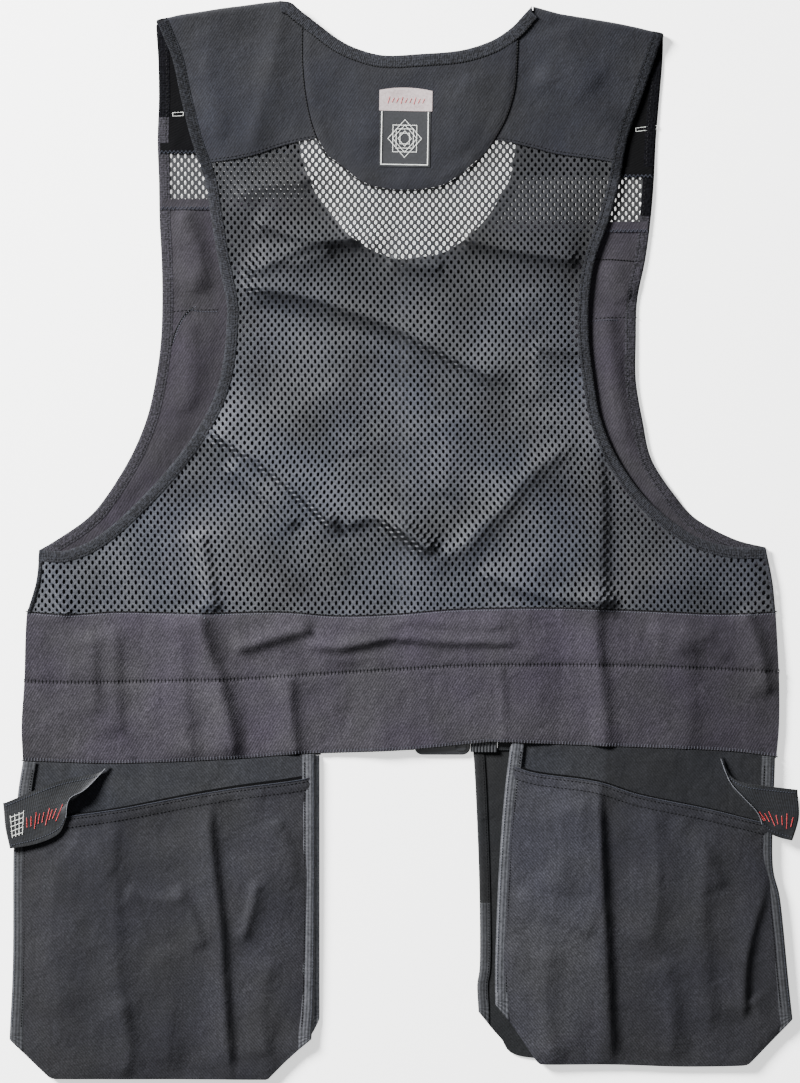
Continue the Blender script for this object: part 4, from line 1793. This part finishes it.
def makeLoop(side):
    edges, wall = loopEdge[side], loopStrap["wall"]
    along = stepsFor(edges["top"], loopStrap["cell"])
    across = stepsFor(edges["inner"], loopStrap["cell"])
    inner, outer = (smoothLine(edges[end], across) for end in ("inner", "outer"))
    bottom, top = (smoothLine(edges[edge], along) for edge in ("bottom", "top"))
    grid = fillEdges(inner, outer, bottom, top)      # rows run from the inner end to the fold
    x, y = grid[..., 0], grid[..., 1]
    away = np.hypot(x - inner[-1, 0], y - inner[-1, 1])
    high = loopStrap["level"] + wall + loopStrap["space"]
    share = np.linspace(0, 1, grid.shape[0])[:, None]
    over = np.linspace(0, 1, grid.shape[1])[None, :]
    # the upper run rises from its sewn root, and its inner end curls up
    near = loopStrap["root"] + (high - loopStrap["root"]) * ease(away, *loopStrap["rise"])
    lip = hill(share * lineLength(bottom), loopStrap["curlReach"])
    near = near + loopStrap["curl"] * lip * np.sin(math.pi * (0.12 + 0.76 * (1 - over)))
    near = near + (loopStrap["drift"] * ripple(x, y, loopStrap["driftSize"], 31)
                   * ease(away, *loopStrap["driftRise"]))
    face, under = np.dstack([grid, near + wall]), np.dstack([grid, near])
    # the lower run lies flat under half of it
    lower = grid[round(grid.shape[0] / 2):]
    farIn = np.dstack([lower, np.full(lower.shape[:2], loopStrap["level"] + wall)])
    farOut = farIn - (0, 0, wall)
    walls = []
    for start, end in ((face, farOut), (under, farIn)):
        turned = []
        for k in range(1, loopStrap["turns"]):
            angle = math.pi * k / loopStrap["turns"]
            row = (start[-1] * (1 + math.cos(angle)) + end[-1] * (1 - math.cos(angle))) / 2
            row[:, 0] -= sides[side] * (start[-1, :, 2] - end[-1, :, 2]) / 2 * math.sin(angle)
            turned.append(row)
        walls.append(np.vstack([start, np.array(turned), end[::-1]]))
    strip = np.dstack(np.meshgrid(np.linspace(0, loopStrap["width"], across + 1),
                                  distances(walls[0][:, across // 2])))
    piece = shell("hammerLoop" + side.capitalize(), *walls, "webbing", "strap",
                  ["hammer_loop_" + side], strip)
    cut(piece)

    def onStrap(v, u):
        # a point on the strap's face: v from the inner end to the fold, u from edge to edge
        i, j = v * (face.shape[0] - 1), u * (face.shape[1] - 1)
        a, b = int(min(i, face.shape[0] - 2)), int(min(j, face.shape[1] - 2))
        s, t = i - a, j - b
        return ((face[a, b] * (1 - t) + face[a, b + 1] * t) * (1 - s)
                + (face[a + 1, b] * (1 - t) + face[a + 1, b + 1] * t) * s
                + (0, 0, loopStrap["rowHigh"]))

    for u in (0.07, 0.93):
        sew("blueThread", "close", [onStrap(v, u) for v in np.linspace(0.1, 0.98, 24)])
    for v, u, tall in loopMarks[side]:
        sew("redThread", "satin", [onStrap(v - 0.012, u - tall / 2),
                                   onStrap(v + 0.012, u + tall / 2)])
    for run in loopMotif[side]:
        sew("whiteThread", "satin", [onStrap(*point) for point in run])
    sew("greyThread", "satin", [onStrap(0.015, u) for u in np.linspace(0.04, 0.96, 14)])


# Belt and zip at the front, which the back mostly hides
buckle = {"left": 10.0, "plateEnd": 52.0, "right": 72.0, "top": -115.5, "bottom": -160.5,
          "plate": (0.1, 3.4), "corner": 6.0, "edge": 0.9, "raisedFrom": 3.5,
          # how far in from each side of the plate, how high, and how round its corners are
          "raised": ((3, 14, 7, 4.6, 3.0), (31, 3, 3, 4.4, 2.0)), "raisedEdge": 0.5,
          "gripInset": 2.2, "gripLow": 2.95, "gripHigh": 3.9, "ridge": 2.4,
          "ridgeHeight": 0.6}
belt = {"width": 38.0, "from": -71.7, "to": 94.7, "gap": 0.3, "cell": 0.8, "pocketTop": -155.5,
        # underside and half the wall; the right end lies over the front pocket's top
        "left": (0.1, 0.7), "right": (1.95, 0.45)}
zipTeeth = {"pitch": 2.4, "length": 2.0, "width": 1.0, "high": 0.9}
zipTape = {"middle": 0.28, "half": 0.22}


def makeBelt():
    y = (buckle["top"] + buckle["bottom"]) / 2 + belt["width"] * np.linspace(-0.5, 0.5, 12)
    for side, low, high in (("left", belt["from"], buckle["left"] - belt["gap"]),
                            ("right", buckle["right"] + belt["gap"], belt["to"])):
        under, half = belt[side]
        grid = np.dstack(np.meshgrid(
            np.linspace(low, high, round((high - low) / belt["cell"])), y))
        piece = shell("beltWebbing" + side.capitalize(), *raised(grid, under + half, half),
                      "webbing", "strap", ["belt_webbing_" + side], grid[..., ::-1])
        cut(piece)


def roundedPlate(work, lows, highs, corner, edge):
    made = bmesh.ops.create_cube(work, size=1.0)["verts"]
    for vert in made:
        vert.co = [(low + (c + 0.5) * (high - low)) * mm
                   for c, low, high in zip(vert.co, lows, highs)]
    top = highs[2] * mm
    upright = [e for e in work.edges if set(made).issuperset(e.verts)
               and abs(e.verts[0].co.z - e.verts[1].co.z) > 0.5 * mm]
    bmesh.ops.bevel(work, geom=upright, offset=corner * mm, segments=5, affect="EDGES",
                    profile=0.5)
    rim = [e for e in work.edges if all(abs(v.co.z - top) < 1e-6 for v in e.verts)
           and len({round(f.normal.z, 2) for f in e.link_faces}) > 1]
    bmesh.ops.bevel(work, geom=rim, offset=edge * mm, segments=3, affect="EDGES", profile=0.5)


def makeBuckle():
    # a side-squeeze buckle, closed: a thin frame with a raised tongue and two prongs
    left, right, top, bottom = (buckle[k] for k in ("left", "plateEnd", "top", "bottom"))
    floor, high = buckle["plate"]
    work = bmesh.new()
    roundedPlate(work, (left, bottom, floor), (right, top, high), buckle["corner"],
                 buckle["edge"])
    for fromLeft, fromRight, inset, high, corner in buckle["raised"]:
        roundedPlate(work, (left + fromLeft, bottom + inset, buckle["raisedFrom"]),
                     (right - fromRight, top - inset, high), corner, buckle["raisedEdge"])
    data = bpy.data.meshes.new("beltBuckle")
    work.to_mesh(data)
    work.free()
    data.materials.append(finish["acetal"])
    settle("beltBuckle", data, ["belt_buckle"], 40)
    # its ridged grip, over the front pocket's top
    inset = buckle["gripInset"]
    grid = np.dstack(np.meshgrid(np.linspace(right + 0.1, buckle["right"], 80),
                                 np.linspace(bottom + inset, top - inset, 6)))
    ridges = buckle["ridgeHeight"] * np.abs(np.sin(math.pi * grid[..., 0] / buckle["ridge"]))
    shell("beltBuckleGrip", np.dstack([grid, buckle["gripHigh"] + ridges]),
          np.dstack([grid, np.full(grid.shape[:2], buckle["gripLow"])]), "acetal", "moulded")


def makeZip():
    x = front["centre"] + (front["zip"] + 2 * front["zipLap"]) * np.linspace(-0.5, 0.5, 5)
    y = np.linspace(front["channel"] + 0.2, front["zipTop"], 90)
    grid = np.dstack(np.meshgrid(x, y))
    piece = shell("zipTape", *raised(grid, zipTape["middle"], zipTape["half"]), "webbing",
                  "moulded", ["front_zip"], grid)
    cut(piece)
    ends = [(front["centre"], y[0] + 2, zipTeeth["high"]),
            (front["centre"], y[-1] - 3, zipTeeth["high"])]
    makeBeads("zipTeeth", [evenLine(ends, 119)], zipTeeth, "acetal")


for side in sides:
    makeFrontPocket(side)
    makePocket(side)
    makeLoop(side)
say("pockets and loops")
makeBelt()
makeBuckle()
makeZip()
say("belt and zip")
for (thread, kind), lines in sewing.items():
    makeBeads(thread + kind.capitalize() + "Stitches", lines, stitchKinds[kind], thread)
